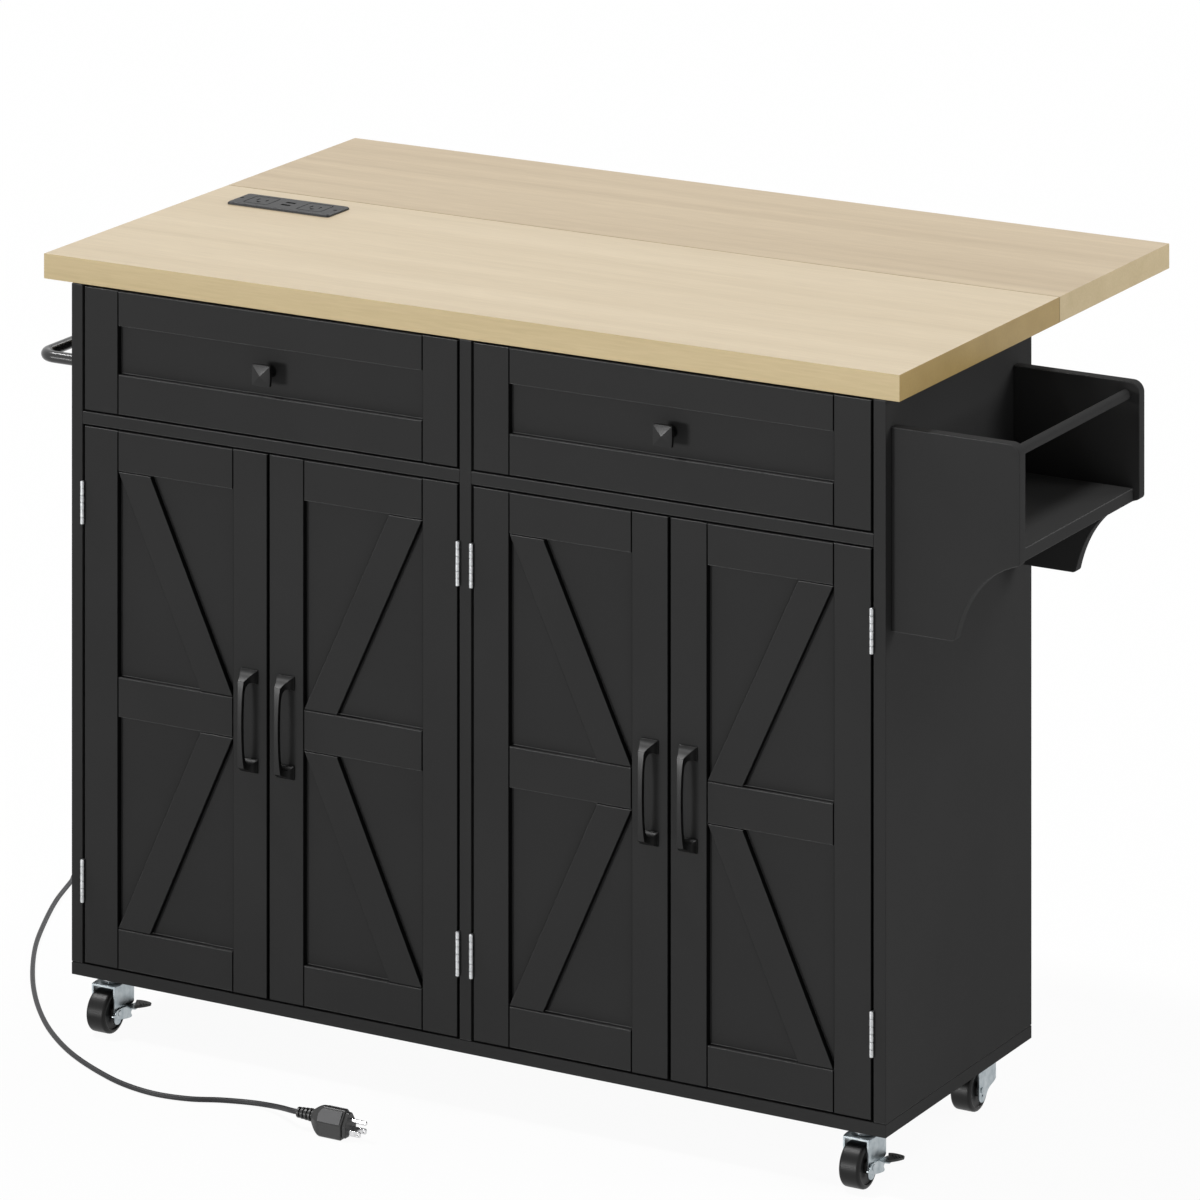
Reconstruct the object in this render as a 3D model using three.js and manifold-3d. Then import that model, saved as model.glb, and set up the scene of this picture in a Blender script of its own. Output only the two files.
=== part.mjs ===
// Drop leaf kitchen island on four swivel castors.
// Millimetres, +Z up, the front faces -Y. x = 0 is the middle of the cabinet, y = 0 its front face
// and z = 0 the floor while the pieces are made; the last lines move the origin to the middle of the footprint.
import * as THREE from "three";
import { ConvexGeometry } from "three/addons/geometries/ConvexGeometry.js";
import { mergeVertices } from "three/addons/utils/BufferGeometryUtils.js";
import Module from "manifold-3d";

const wasm = await Module();
wasm.setup();

// ---- driving dimensions -------------------------------------------------------------------------
const fit = 0.3; // gap left between pieces that touch
const board = 15; // thickness of the carcass boards
const edgeRound = 0.8; // arris taken off a board's long edges
const sink = 1; // how far a fused detail reaches into the piece that carries it

const cabinetWidth = 1080;
const cabinetDepth = 365;
const backThickness = 12;

const worktopThickness = 30;
const worktopLeftOverhang = 39.5;
const worktopRightOverhang = 17;
const worktopRearOverhang = 38.5;
const leafSeam = 1;
const leafDepth = 297.5;

const doorGap = 3; // reveal round every door and drawer front
const railDepth = 60;
const doorReveal = 2.3; // over and under the doors and drawer fronts
const doorHeight = 632;
const drawerSpace = 149.4; // from the rail over the doors up to the worktop
const frontSlab = 9; // flat panel of a door or drawer front
const overlay = 7; // strips laid on that panel
const stripWidth = 47;
const drawerTopStrip = 41;
const braceRun = 45; // width of a diagonal strip, measured along the rail it meets
const stripGroove = 1;
const midRailAbove = 3.5; // middle rail's centre above the door's centre

const shelfHeight = 330; // shelf's underside above the cabinet bottom
const shelfSetback = 40;

const drawerBoxPlay = 13.75; // beside a drawer box
const drawerBoxRise = 4; // its underside over the rail
const drawerBoxHeadroom = 45.4; // its top edge under the worktop
const drawerBoxClear = 36.7; // its back in front of the back panel
const drawerWall = 12;
const drawerBase = 6;
const runnerWidth = 40;
const runnerHeight = 14;
const runnerSheet = 2;
const guideWidth = 6;

const barrelRadius = 2.6; // door hinge knuckles
const barrelProud = 2.3; // barrel's centre in front of the cabinet face
const hingeLength = 50.8;
const hingePlate = 1.2;
const hingeLeafDepth = 17;
const upperHingeDrop = 90; // upper hinge's centre under the door's top
const lowerHingeRise = 96; // lower hinge's centre over the door's bottom
const hingeKnuckles = 6;
const hingeWaist = 0.35; // groove between two knuckles

const pullLength = 119.6;
const pullWidth = 22.8; // across its foot plates
const pullReach = 22.9; // grip's front face in front of the door
const pullBow = 2.9; // how far the middle of the grip stands in front of its ends
const pullGrip = 5.6; // grip's width at its front
const pullShoulder = 8.4; // width at the grip's ends
const pullShoulderRise = 9.4; // grip's ends from the pull's ends
const pullDepth = 5.7; // grip's thickness
const pullFoot = 16; // height of a foot plate
const pullPlate = 2.2;

const knobSize = 25;
const knobBow = 0.6; // how far the middle of a side stands outside the line between its corners
const knobRim = 4.4;
const knobCrown = 3.3;
const knobStem = 13;
const knobReach = 26; // knob's point in front of the drawer's recess

const leafHingeLength = 1000;
const leafHingeKnuckles = 12;
const leafBarrel = 3;
const leafHingePlate = 1.5;
const leafHingeWidth = 25;
const leafPin = 1.2;

const braceSpread = 320; // braces left and right of the middle
const braceLength = 175;
const braceDrop = 92.5; // brace pivot under the leaf's hinge line
const braceStandoff = 15; // brace pivot behind the cabinet's back
const bracePlate = 5;
const braceHalfWidth = 8;
const bracePin = 3;
const pivotPlay = 0.35;
const headDrop = 5; // centre of the brace's head under the leaf's hinge line
const sliderRadius = 5.5;
const sliderWidth = 14;
const mountSheet = 3;
const mountWidth = 40;
const mountHeight = 60;
const earRoot = 18; // half height of each ear at the plate
const trackInner = 18;
const trackWall = 2;
const trackHeight = 12;
const trackLead = 22; // channel in front of the head while the leaf is up
const trackRunOut = 8; // channel behind the head while the leaf hangs

const rackProjection = 158.7;
const rackHeight = 226.5;
const rackTopDrop = 32; // rack's top edge under the worktop
const rackBoard = 14;
const rackSetback = 12;
const rackLength = 320;
const rackCorner = 13;
const rackFoot = 79.5; // width of the end boards at their bottom
const rackLowerEdge = 92.5; // height at which the outer edge turns into the curve
const rackCurveOut = 16.4; // the curve's corner from the foot, outwards and upwards
const rackCurveRise = 72.3;
const rackShelfRise = 91.5;
const rackShelfDepth = 151;
const rackRailRadius = 6;
const rackRailOut = 142;
const rackRailRise = 211.5;

const towelRadius = 7;
const towelReach = 70;
const towelBend = 20;
const towelSetback = 40;
const towelSpan = 285;
const towelDrop = 103; // bar's centre line under the worktop
const towelFlange = 15;
const towelFlangeThickness = 3;

const outletLength = 145;
const outletDepth = 51;
const outletPlate = 3;
const outletCorner = 4;
const outletLeft = 14; // plate's left edge from the cabinet's left side
const outletRearOverhang = 3; // plate's rear edge behind the cabinet's back
const outletBodyMargin = 10;
const outletBodyClear = 2; // body in front of the back panel
const outletBodyDepth = 45;
const socketDepth = 12;
const socketOffset = 38; // each mains socket from the plate's middle
const socketPitch = 12.6; // between a mains socket's two slots
const slotWidth = 1.8;
const slotLength = 8;
const slotSetback = 2; // slots' middle behind the socket's middle
const earthOffset = 7; // earth hole's centre in front of the socket's middle
const earthRadius = 2.6;
const smallSocketPitch = 12;
const smallSocketWidth = 13;
const smallSocketHeight = 5;

const castorHeight = 64.5;
const castorInset = 40.4; // swivel axis from the cabinet's sides
const frontSwivel = 28; // swivel axes behind the cabinet's front
const rearSwivelInset = 63; // rear swivel axes in front of the cabinet's back
const castorTrail = 16;
const wheelRadius = 25;
const wheelWidth = 26;
const treadRound = 3;
const hubRadius = 8;
const hubProud = 0.8;
const wheelDish = 2;
const wheelPlay = 1.2; // between the hub and the fork's legs
const forkSheet = 2.5;
const legDrop = 8; // middle of each leg's rounded end below the axle
const crownLength = 44;
const castorPlate = 2;
const raceHeight = 6;
const raceRadius = 17;
const mountPlate = 38;
const axleRadius = 3;
const nutRadius = 5.2;
const nutLength = 4;
const kingpinRadius = 6.5;
const swivelGap = 0.5;
const pedalSheet = 2.2;
const pedalPlay = 0.4;
const pedalReach = 54; // tip of the brake's tongue behind the axle
const pedalWidth = 17;
const pedalSlope = 14; // degrees
const pedalHub = 8.5;
const pedalStep = 3; // tongue's thickness
const pedalStepHeight = -2; // tongue's root over the axle
const pedalRoot = 22; // tongue's root behind the axle

const cordRadius = 3;
const glandLeft = 70; // cord's exit from the cabinet's left side
const glandHeight = 460; // cord's exit above the floor
const glandLength = 30;
const glandBore = 6.5;
const leadBend = 24; // fixed lead's bend into the gland, and its run's place in front of the back panel
const plugStart = [-137.5, -140]; // where the cord enters the plug, which lies along +X
const plugRelief = 21;
const plugShoulder = 16; // taper between the relief and the full body
const plugBody = 28;
const plugNose = 5;
const plugNoseInset = 2.5;
const plugWidth = 29;
const plugHeight = 31;
const plugSideHeight = 16; // upright part of the plug's sides
const plugRidge = 9.5; // flat along the plug's top
const plugAxis = 17; // relief's axis above the plug's underside
const bladeSpacing = 12.7;
const bladeRise = 5.5; // blades' centre over the plug's underside
const bladeLength = 17;
const bladeHeight = 6.3;
const bladeThickness = 1.5;
const bladeHole = 3.2;
const groundOffset = 11.9; // earth pin's centre above the blades' centre
const groundDiameter = 4.8;
const groundLength = 21.4;

// ---- heights and places that follow from them ---------------------------------------------------
const floorBoardTop = castorHeight + board;
const halfWidth = cabinetWidth / 2;
const bayWidth = (cabinetWidth - 3 * board) / 2;
const doorWidth = (bayWidth - 3 * doorGap) / 2;
const doorBottom = floorBoardTop + doorReveal;
const doorTop = doorBottom + doorHeight;
const railBottom = doorTop + doorReveal;
const railTop = railBottom + board;
const top = railTop + drawerSpace; // underside of the worktop
const frontThickness = frontSlab + overlay;
const drawerBottom = railTop + doorReveal;
const drawerFrontTop = top - doorReveal;
const drawerBoxHeight = drawerSpace - drawerBoxRise - drawerBoxHeadroom;
const backFace = cabinetDepth - backThickness;
const drawerBoxDepth = backFace - drawerBoxClear - frontThickness - fit;
const fixedTopDepth = cabinetDepth + worktopRearOverhang;
const outletFront = cabinetDepth + outletRearOverhang - outletDepth;
const rearSwivel = cabinetDepth - rearSwivelInset;
const forkHalf = wheelWidth / 2 + hubProud + wheelPlay;
const bays = [
  { side: "left", middle: -(board + bayWidth) / 2 },
  { side: "right", middle: (board + bayWidth) / 2 },
];

// The brace leans by restAngle from the upright while the leaf is up, and hangs beside the leaf while it is down.
// Its head is then headUp and headDown away from the leaf's hinge line, along the leaf.
const restAngle = Math.acos((braceDrop - headDrop) / braceLength);
const pivotBehind = cabinetDepth + braceStandoff - fixedTopDepth - leafSeam / 2;
const headUp = pivotBehind + braceLength * Math.sin(restAngle);
const headDown = braceDrop + Math.sqrt(braceLength ** 2 - (pivotBehind + headDrop) ** 2);

// ---- finishes -----------------------------------------------------------------------------------
const finish = (color, roughness, metalness = 0) => () =>
  new THREE.MeshStandardMaterial({ color, roughness, metalness });
const blackBoard = finish(0x303030, 0.6);
const maple = finish(0xd8c7a0, 0.45);
const blackMetal = finish(0x1d1d1e, 0.4, 0.6);
const steel = finish(0xb4b6b8, 0.35, 0.9);
const zinc = finish(0xa9afb2, 0.4, 0.8);
const blackPlastic = finish(0x1b1b1c, 0.45);
const greyPlastic = finish(0x3b3b3e, 0.5);
const drawerBoard = finish(0x3a3a3a, 0.7);

// ---- shape tools --------------------------------------------------------------------------------
const AXES = {
  x: new THREE.Vector3(1, 0, 0),
  y: new THREE.Vector3(0, 1, 0),
  z: new THREE.Vector3(0, 0, 1),
};

/** A closed solid from a closed geometry. */
function solid(geometry) {
  const bare = new THREE.BufferGeometry();
  bare.setAttribute("position", geometry.getAttribute("position"));
  if (geometry.index) bare.setIndex(geometry.index);
  const merged = mergeVertices(bare, 1e-3);
  return new wasm.Manifold(
    new wasm.Mesh({
      numProp: 3,
      vertProperties: new Float32Array(merged.getAttribute("position").array),
      triVerts: new Uint32Array(merged.index.array),
    }),
  );
}

/** The geometry of a solid. */
function geometryOf(body) {
  const data = body.getMesh();
  const geometry = new THREE.BufferGeometry();
  geometry.setAttribute("position", new THREE.BufferAttribute(new Float32Array(data.vertProperties), 3));
  geometry.setIndex(new THREE.BufferAttribute(new Uint32Array(data.triVerts), 1));
  geometry.computeVertexNormals();
  return geometry;
}

const join = (first, ...others) => others.reduce((sum, other) => sum.add(other), first);
const cut = (first, ...others) => others.reduce((rest, other) => rest.subtract(other), first);

/** A box between two corners. */
function block([x0, x1], [y0, y1], [z0, z1]) {
  const box = new THREE.BoxGeometry(x1 - x0, y1 - y0, z1 - z0);
  return solid(box.translate((x0 + x1) / 2, (y0 + y1) / 2, (z0 + z1) / 2));
}

/** A cylinder along an axis, from one coordinate to another. */
function rod(axis, radius, [from, to], at = [0, 0, 0], sides = 12) {
  const shape = new THREE.CylinderGeometry(radius, radius, to - from, sides);
  shape.translate(0, (from + to) / 2, 0);
  shape.applyQuaternion(new THREE.Quaternion().setFromUnitVectors(AXES.y, AXES[axis]));
  return solid(shape.translate(...at));
}

/** An outline extruded along an axis. The outline's first coordinate is y for x, x for y and x for z. */
function prism(outline, axis, [from, to], curveSegments = 6) {
  const geometry = new THREE.ExtrudeGeometry(outline, {
    depth: to - from,
    bevelEnabled: false,
    curveSegments,
  });
  geometry.translate(0, 0, from);
  const turn = new THREE.Matrix4();
  if (axis === "x") turn.makeBasis(AXES.y, AXES.z, AXES.x);
  if (axis === "y") turn.makeBasis(AXES.x, AXES.z, AXES.y.clone().negate());
  geometry.applyMatrix4(turn);
  if (axis === "y") geometry.translate(0, from + to, 0);
  return solid(geometry);
}

/** An outline through points, in order. */
const outlineOf = (points) => new THREE.Shape(points.map(([u, v]) => new THREE.Vector2(u, v)));

/** A rectangle with rounded corners, centred. */
function roundedRectangle(width, height, radius) {
  const shape = new THREE.Shape();
  const [x, y] = [width / 2 - radius, height / 2 - radius];
  shape.absarc(x, y, radius, 0, Math.PI / 2, false);
  shape.absarc(-x, y, radius, Math.PI / 2, Math.PI, false);
  shape.absarc(-x, -y, radius, Math.PI, 1.5 * Math.PI, false);
  shape.absarc(x, -y, radius, 1.5 * Math.PI, 2 * Math.PI, false);
  return shape;
}

/** A flat board between two corners, with its long arrises rounded over. */
function roundedBoard([x0, x1], [y0, y1], [z0, z1], round = edgeRound) {
  const [width, depth, height] = [x1 - x0, y1 - y0, z1 - z0];
  const plan = outlineOf([
    [round, round],
    [width - round, round],
    [width - round, depth - round],
    [round, depth - round],
  ]);
  const geometry = new THREE.ExtrudeGeometry(plan, {
    depth: height - 2 * round,
    bevelThickness: round,
    bevelSize: round,
    bevelSegments: 2,
  });
  return solid(geometry.translate(x0, y0, z0 + round));
}

/** A profile of [radius, height] pairs turned about z. */
function turned(profile, segments) {
  const points = profile.map(([radius, height]) => new THREE.Vector2(radius, height));
  return solid(new THREE.LatheGeometry(points, segments).rotateX(Math.PI / 2));
}

/** A tube through stations that lie where its bends need them. */
class Stations extends THREE.Curve {
  constructor(points) {
    super();
    this.points = points;
  }
  getPoint(t) {
    const place = t * (this.points.length - 1);
    const index = Math.min(Math.floor(place), this.points.length - 2);
    return this.points[index].clone().lerp(this.points[index + 1], place - index);
  }
  getPointAt(t) {
    return this.getPoint(t);
  }
  getTangentAt(t) {
    const index = Math.round(t * (this.points.length - 1));
    const before = this.points[Math.max(index - 1, 0)];
    const after = this.points[Math.min(index + 1, this.points.length - 1)];
    return after.clone().sub(before).normalize();
  }
}

function tube(points, radius, sides) {
  const section = new THREE.Shape();
  for (let side = 0; side < sides; side++) {
    const angle = (2 * Math.PI * side) / sides;
    const place = [radius * Math.cos(angle), radius * Math.sin(angle)];
    if (side) section.lineTo(...place);
    else section.moveTo(...place);
  }
  return solid(
    new THREE.ExtrudeGeometry(section, {
      steps: points.length - 1,
      extrudePath: new Stations(points),
    }),
  );
}

const island = new THREE.Group();
const onCord = new Set();

/** Adds one piece to the island, at a place and turned about an axis. */
function add(name, body, material, { at = [0, 0, 0], turn = [0, 0, 0], cordPiece = false } = {}) {
  const mesh = new THREE.Mesh(geometryOf(body), material());
  mesh.name = name;
  mesh.position.set(...at);
  mesh.rotation.set(...turn);
  island.add(mesh);
  if (cordPiece) onCord.add(mesh);
  return mesh;
}

// ---- cabinet ------------------------------------------------------------------------------------
function addCarcass() {
  const upright = [floorBoardTop + fit, top - fit];
  const outer = (x0, x1) => roundedBoard([x0, x1], [0, cabinetDepth], upright);
  add("side_panel_left", outer(-halfWidth, -halfWidth + board), blackBoard);
  add("side_panel_right", outer(halfWidth - board, halfWidth), blackBoard);
  add("centre_divider", roundedBoard([-board / 2, board / 2], [0, backFace - fit], upright), blackBoard);

  const inside = [-halfWidth + board + fit, halfWidth - board - fit];
  const gland = rod("y", glandBore, [backFace - 1, cabinetDepth + 1], [-halfWidth + glandLeft, 0, glandHeight]);
  add("back_panel", cut(block(inside, [backFace, cabinetDepth], upright), gland), blackBoard);

  for (const { side, middle } of bays) {
    const across = [middle - bayWidth / 2 + fit, middle + bayWidth / 2 - fit];
    add(`front_rail_${side}`, roundedBoard(across, [0, railDepth], [railBottom, railTop]), blackBoard);
    const shelf = [castorHeight + shelfHeight, castorHeight + shelfHeight + board];
    add(`shelf_${side}`, roundedBoard(across, [shelfSetback, backFace - fit], shelf), blackBoard);
  }
}

/** The cabinet's floor, with the castors' plates and ball races under it. */
function addBottomPanel() {
  let body = roundedBoard([-halfWidth, halfWidth], [0, cabinetDepth], [castorHeight, floorBoardTop]);
  for (const { x, y } of castors) {
    const plate = roundedRectangle(mountPlate, mountPlate, 4);
    const under = castorHeight - castorPlate;
    const race = turned(
      [
        [0, -raceHeight],
        [raceRadius - 3, -raceHeight],
        [raceRadius, -raceHeight / 2],
        [raceRadius, 1],
        [0, 1],
      ],
      12,
    );
    body = join(
      body,
      prism(plate, "z", [under, castorHeight + 1], 2).translate(x, y, 0),
      race.translate(x, y, under),
    );
  }
  add("bottom_panel", body, blackBoard);
}

// ---- worktop, leaf and its hinge ----------------------------------------------------------------
const topX = [-halfWidth - worktopLeftOverhang, halfWidth + worktopRightOverhang];
const leafAxis = { y: fixedTopDepth + leafSeam / 2, z: top - leafBarrel - 0.5 };
const outletMiddle = [
  -halfWidth + outletLeft + outletLength / 2,
  outletFront + outletDepth / 2,
];
const outletBody = [
  outletLength - 2 * outletBodyMargin,
  backFace - outletFront - outletBodyMargin - outletBodyClear,
];

function addWorktop() {
  const hole = block(
    [outletMiddle[0] - outletBody[0] / 2 - fit, outletMiddle[0] + outletBody[0] / 2 + fit],
    [outletFront + outletBodyMargin - fit, outletFront + outletBodyMargin + outletBody[1] + fit],
    [top - 1, top + worktopThickness + 1],
  );
  const slab = roundedBoard(topX, [0, fixedTopDepth], [top, top + worktopThickness]);
  add("worktop", cut(slab, hole), maple);
}

/** The leaf, with the two channels that guide the braces screwed under it. */
function addLeaf() {
  const start = fixedTopDepth + leafSeam;
  let body = roundedBoard(topX, [start, start + leafDepth], [top, top + worktopThickness]);
  const trackStart = leafAxis.y + headUp - trackLead;
  const trackEnd = leafAxis.y + headDown + sliderRadius + trackRunOut;
  const trackOuter = trackInner + 2 * trackWall;
  for (const x of [-braceSpread, braceSpread]) {
    const rail = block(
      [x - trackOuter / 2, x + trackOuter / 2],
      [trackStart, trackEnd + trackWall],
      [top - trackHeight, top + sink],
    );
    const groove = block(
      [x - trackInner / 2, x + trackInner / 2],
      [trackStart - 1, trackEnd],
      [top - trackHeight - 1, top],
    );
    body = join(body, cut(rail, groove));
  }
  add("drop_leaf", body, maple);
}

/** One half of the continuous hinge: a plate, its knuckles and, in the fixed half, the pin. */
function hingeHalf(first, direction, withPin) {
  const pitch = leafHingeLength / leafHingeKnuckles;
  const start = -leafHingeLength / 2;
  const plateZ = [leafBarrel + 0.5 - fit - leafHingePlate, leafBarrel + 0.5 - fit];
  const clear = leafBarrel + 0.6;
  const span = (near, far) => (direction < 0 ? [-far, -near] : [near, far]);
  let body = block([start, -start], span(clear, leafHingeWidth), plateZ);
  for (let index = first; index < leafHingeKnuckles; index += 2) {
    const along = [start + index * pitch + 0.4, start + (index + 1) * pitch - 0.4];
    body = join(body, block(along, span(0, clear + 1), plateZ), rod("x", leafBarrel, along, [0, 0, 0], 8));
  }
  const pin = rod("x", withPin ? leafPin : leafPin + pivotPlay, [start - 1, 1 - start], [0, 0, 0], 6);
  return withPin ? join(body, pin) : cut(body, pin);
}

function addLeafHinge() {
  const at = [0, leafAxis.y, leafAxis.z];
  add("leaf_hinge_fixed", hingeHalf(0, -1, true), steel, { at });
  add("leaf_hinge_moving", hingeHalf(1, 1, false), steel, { at });
}

/** Folding brace: a bracket on the cabinet's back, and an arm whose nylon head runs in the leaf's channel. */
function addBraces() {
  const pivot = [cabinetDepth + braceStandoff, leafAxis.z - braceDrop];
  const ear = new THREE.Shape();
  ear.moveTo(-braceStandoff + mountSheet, -earRoot);
  ear.lineTo(0, -braceHalfWidth);
  ear.absarc(0, 0, braceHalfWidth, -Math.PI / 2, Math.PI / 2, false);
  ear.lineTo(-braceStandoff + mountSheet, earRoot);
  for (const [side, x] of [
    ["left", -braceSpread],
    ["right", braceSpread],
  ]) {
    const plate = roundedRectangle(mountWidth, mountHeight, 5);
    const wall = cabinetDepth + fit;
    const inner = bracePlate / 2 + 0.4;
    const ears = [
      [inner, inner + mountSheet],
      [-inner - mountSheet, -inner],
    ].map((across) => prism(ear, "x", across, 4).translate(0, ...pivot));
    const pin = rod("x", bracePin, [-inner - mountSheet - 1.5, inner + mountSheet + 1.5], [0, ...pivot], 10);
    const back = prism(plate, "y", [wall, wall + mountSheet], 3).translate(0, 0, pivot[1]);
    add(`brace_mount_${side}`, join(back, ...ears, pin), steel, { at: [x, 0, 0] });

    const half = bracePlate / 2;
    const link = new THREE.Shape();
    link.absarc(0, 0, braceHalfWidth, Math.PI, 2 * Math.PI, false);
    link.absarc(0, braceLength, sliderRadius, 0, Math.PI, false);
    const arm = join(
      prism(link, "x", [-half, half], 4),
      rod("x", sliderRadius, [-sliderWidth / 2, sliderWidth / 2], [0, 0, braceLength], 14),
    );
    const bore = rod("x", bracePin + pivotPlay, [-half - 1, half + 1], [0, 0, 0], 10);
    add(`leaf_brace_${side}`, cut(arm, bore), steel, { at: [x, ...pivot], turn: [-restAngle, 0, 0] });
  }
}

// ---- doors and drawer fronts --------------------------------------------------------------------
/** A strip along z with its front arrises taken off, its front face at y = 0. */
function strip(width, length) {
  const half = width / 2;
  const back = overlay + 1;
  const section = outlineOf([
    [-half, back],
    [-half, edgeRound],
    [-half + edgeRound, 0],
    [half - edgeRound, 0],
    [half, edgeRound],
    [half, back],
  ]);
  return prism(section, "z", [0, length]);
}

const upright = (x, width, z0, z1) => strip(width, z1 - z0).translate(x, 0, z0);
const level = (z, width, x0, x1) => strip(width, x1 - x0).rotate([0, 90, 0]).translate(x0, 0, z);
const panel = (width, height) =>
  block([-width / 2, width / 2], [overlay, frontThickness], [0, height]);

/** A diagonal strip that fills a rectangle from one lower corner to the opposite upper one. */
function diagonal([x0, x1], [z0, z1], rising) {
  const run = x1 - x0 - braceRun;
  const rise = z1 - z0;
  const tilt = Math.atan2(run, rise);
  const long = Math.hypot(run, rise) + 4 * stripWidth;
  const bar = strip(braceRun * Math.cos(tilt), long).translate(0, 0, -long / 2);
  const leaning = bar.rotate([0, THREE.MathUtils.radToDeg(rising ? tilt : -tilt), 0]);
  const opening = block([x0, x1], [-1, overlay + 1], [z0 + stripGroove, z1 - stripGroove]);
  return leaning.translate((x0 + x1) / 2, 0, (z0 + z1) / 2).intersect(opening);
}

/** A door seen from the front, centred on x = 0, its bottom edge at z = 0. */
function doorSolid(pointsRight) {
  const [half, inner] = [doorWidth / 2, doorWidth / 2 - stripWidth];
  const middle = doorHeight / 2 + midRailAbove;
  const railSpan = [-inner + stripGroove, inner - stripGroove];
  const lower = [stripWidth, middle - stripWidth / 2];
  const upper = [middle + stripWidth / 2, doorHeight - stripWidth];
  const opening = [-inner, inner];
  return join(
    panel(doorWidth, doorHeight),
    upright(-half + stripWidth / 2, stripWidth, 0, doorHeight),
    upright(half - stripWidth / 2, stripWidth, 0, doorHeight),
    ...[stripWidth / 2, middle, doorHeight - stripWidth / 2].map((z) => level(z, stripWidth, ...railSpan)),
    diagonal(opening, lower, pointsRight),
    diagonal(opening, upper, !pointsRight),
  );
}

/** An arched pull: foot plates, and a slim bowed grip whose ends flare into them. */
function pullSolid() {
  const half = pullLength / 2;
  const inner = half - pullFoot;
  const shoulder = half - pullShoulderRise;
  const [front, ends] = [-pullReach, -pullReach + pullBow];
  const side = new THREE.Shape();
  side.moveTo(0, -half);
  side.lineTo(0, -inner);
  side.lineTo(-pullPlate, -inner);
  side.quadraticCurveTo(ends + pullDepth, -inner - 5, ends + pullDepth, -inner + 7);
  side.quadraticCurveTo(front + pullDepth - 0.4, 0, ends + pullDepth, inner - 7);
  side.quadraticCurveTo(ends + pullDepth, inner + 5, -pullPlate, inner);
  side.lineTo(0, inner);
  side.lineTo(0, half);
  side.lineTo(-pullPlate, half);
  side.lineTo(ends, shoulder);
  side.quadraticCurveTo(front - pullBow, 0, ends, -shoulder);
  side.lineTo(-pullPlate, -half);
  const plan = outlineOf([
    [-pullWidth / 2, 0],
    [-pullWidth / 2, -pullPlate],
    [-pullShoulder / 2, ends],
    [-pullGrip / 2, front],
    [pullGrip / 2, front],
    [pullShoulder / 2, ends],
    [pullWidth / 2, -pullPlate],
    [pullWidth / 2, 0],
  ]);
  return prism(side, "x", [-pullWidth / 2, pullWidth / 2]).intersect(prism(plan, "z", [-half, half]));
}

/** A butt hinge: leaf in the reveal and a barrel of knuckles in front of it. leafSide is -1 or 1. */
function hingeSolid(leafSide) {
  const half = hingeLength / 2;
  const knuckle = hingeLength / hingeKnuckles;
  const profile = [[0, -half]];
  for (let index = 0; index < hingeKnuckles; index++) {
    const z = -half + index * knuckle;
    profile.push([barrelRadius, z + (index ? hingeWaist : 0)], [barrelRadius, z + knuckle - hingeWaist]);
    if (index < hingeKnuckles - 1) profile.push([barrelRadius - hingeWaist, z + knuckle]);
  }
  profile.push([0, half]);
  const near = leafSide * (doorGap / 2 - fit);
  const far = near - leafSide * hingePlate;
  const leaf = block(
    [Math.min(near, far), Math.max(near, far)],
    [0, barrelProud + hingeLeafDepth],
    [-half, half],
  );
  return join(turned(profile, 8), leaf);
}

/** Doors are numbered from the left; the outer two hang on the sides and the inner two on the divider. */
const doors = bays.flatMap(({ middle }, bay) =>
  [-1, 1].map((place) => ({
    number: bay * 2 + (place + 3) / 2,
    x: middle + (place * (doorWidth + doorGap)) / 2,
    hinged: place,
  })),
);

function addDoors() {
  for (const { number, x, hinged } of doors) {
    add(`door_${number}`, doorSolid(hinged < 0), blackBoard, { at: [x, 0, doorBottom] });
    const pull = [
      x - hinged * (doorWidth / 2 - stripWidth / 2),
      -fit,
      doorBottom + doorHeight / 2 + midRailAbove,
    ];
    add(`door_pull_${number}`, pullSolid(), blackMetal, { at: pull });
    const pin = x + hinged * (doorWidth / 2 + doorGap / 2);
    for (const [place, z] of [
      ["upper", doorTop - upperHingeDrop],
      ["lower", doorBottom + lowerHingeRise],
    ]) {
      add(`door_${number}_hinge_${place}`, hingeSolid(hinged), steel, { at: [pin, -barrelProud, z] });
    }
  }
}

/** A square knob with slightly bowed sides: a low pyramid on a rim and a stem. */
function knobSolid() {
  const half = knobSize / 2 - knobBow;
  const face = -knobReach + knobCrown;
  const back = face + knobRim;
  const corners = [
    [half, half],
    [-half, half],
    [-half, -half],
    [half, -half],
  ];
  const rim = new THREE.Shape();
  rim.moveTo(...corners[3]);
  corners.forEach(([x, z], index) => {
    const [lastX, lastZ] = corners[(index + 3) % 4];
    const bow = 1 + (2 * knobBow) / half;
    rim.quadraticCurveTo(((x + lastX) / 2) * bow, ((z + lastZ) / 2) * bow, x, z);
  });
  const outline = rim.getPoints(4);
  const points = [new THREE.Vector3(0, -knobReach, 0)];
  for (const { x, y } of outline) {
    points.push(new THREE.Vector3(x, face, y), new THREE.Vector3(x, back, y));
  }
  return join(solid(new ConvexGeometry(points)), rod("y", knobStem / 2, [back - 1, 0]));
}

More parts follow.
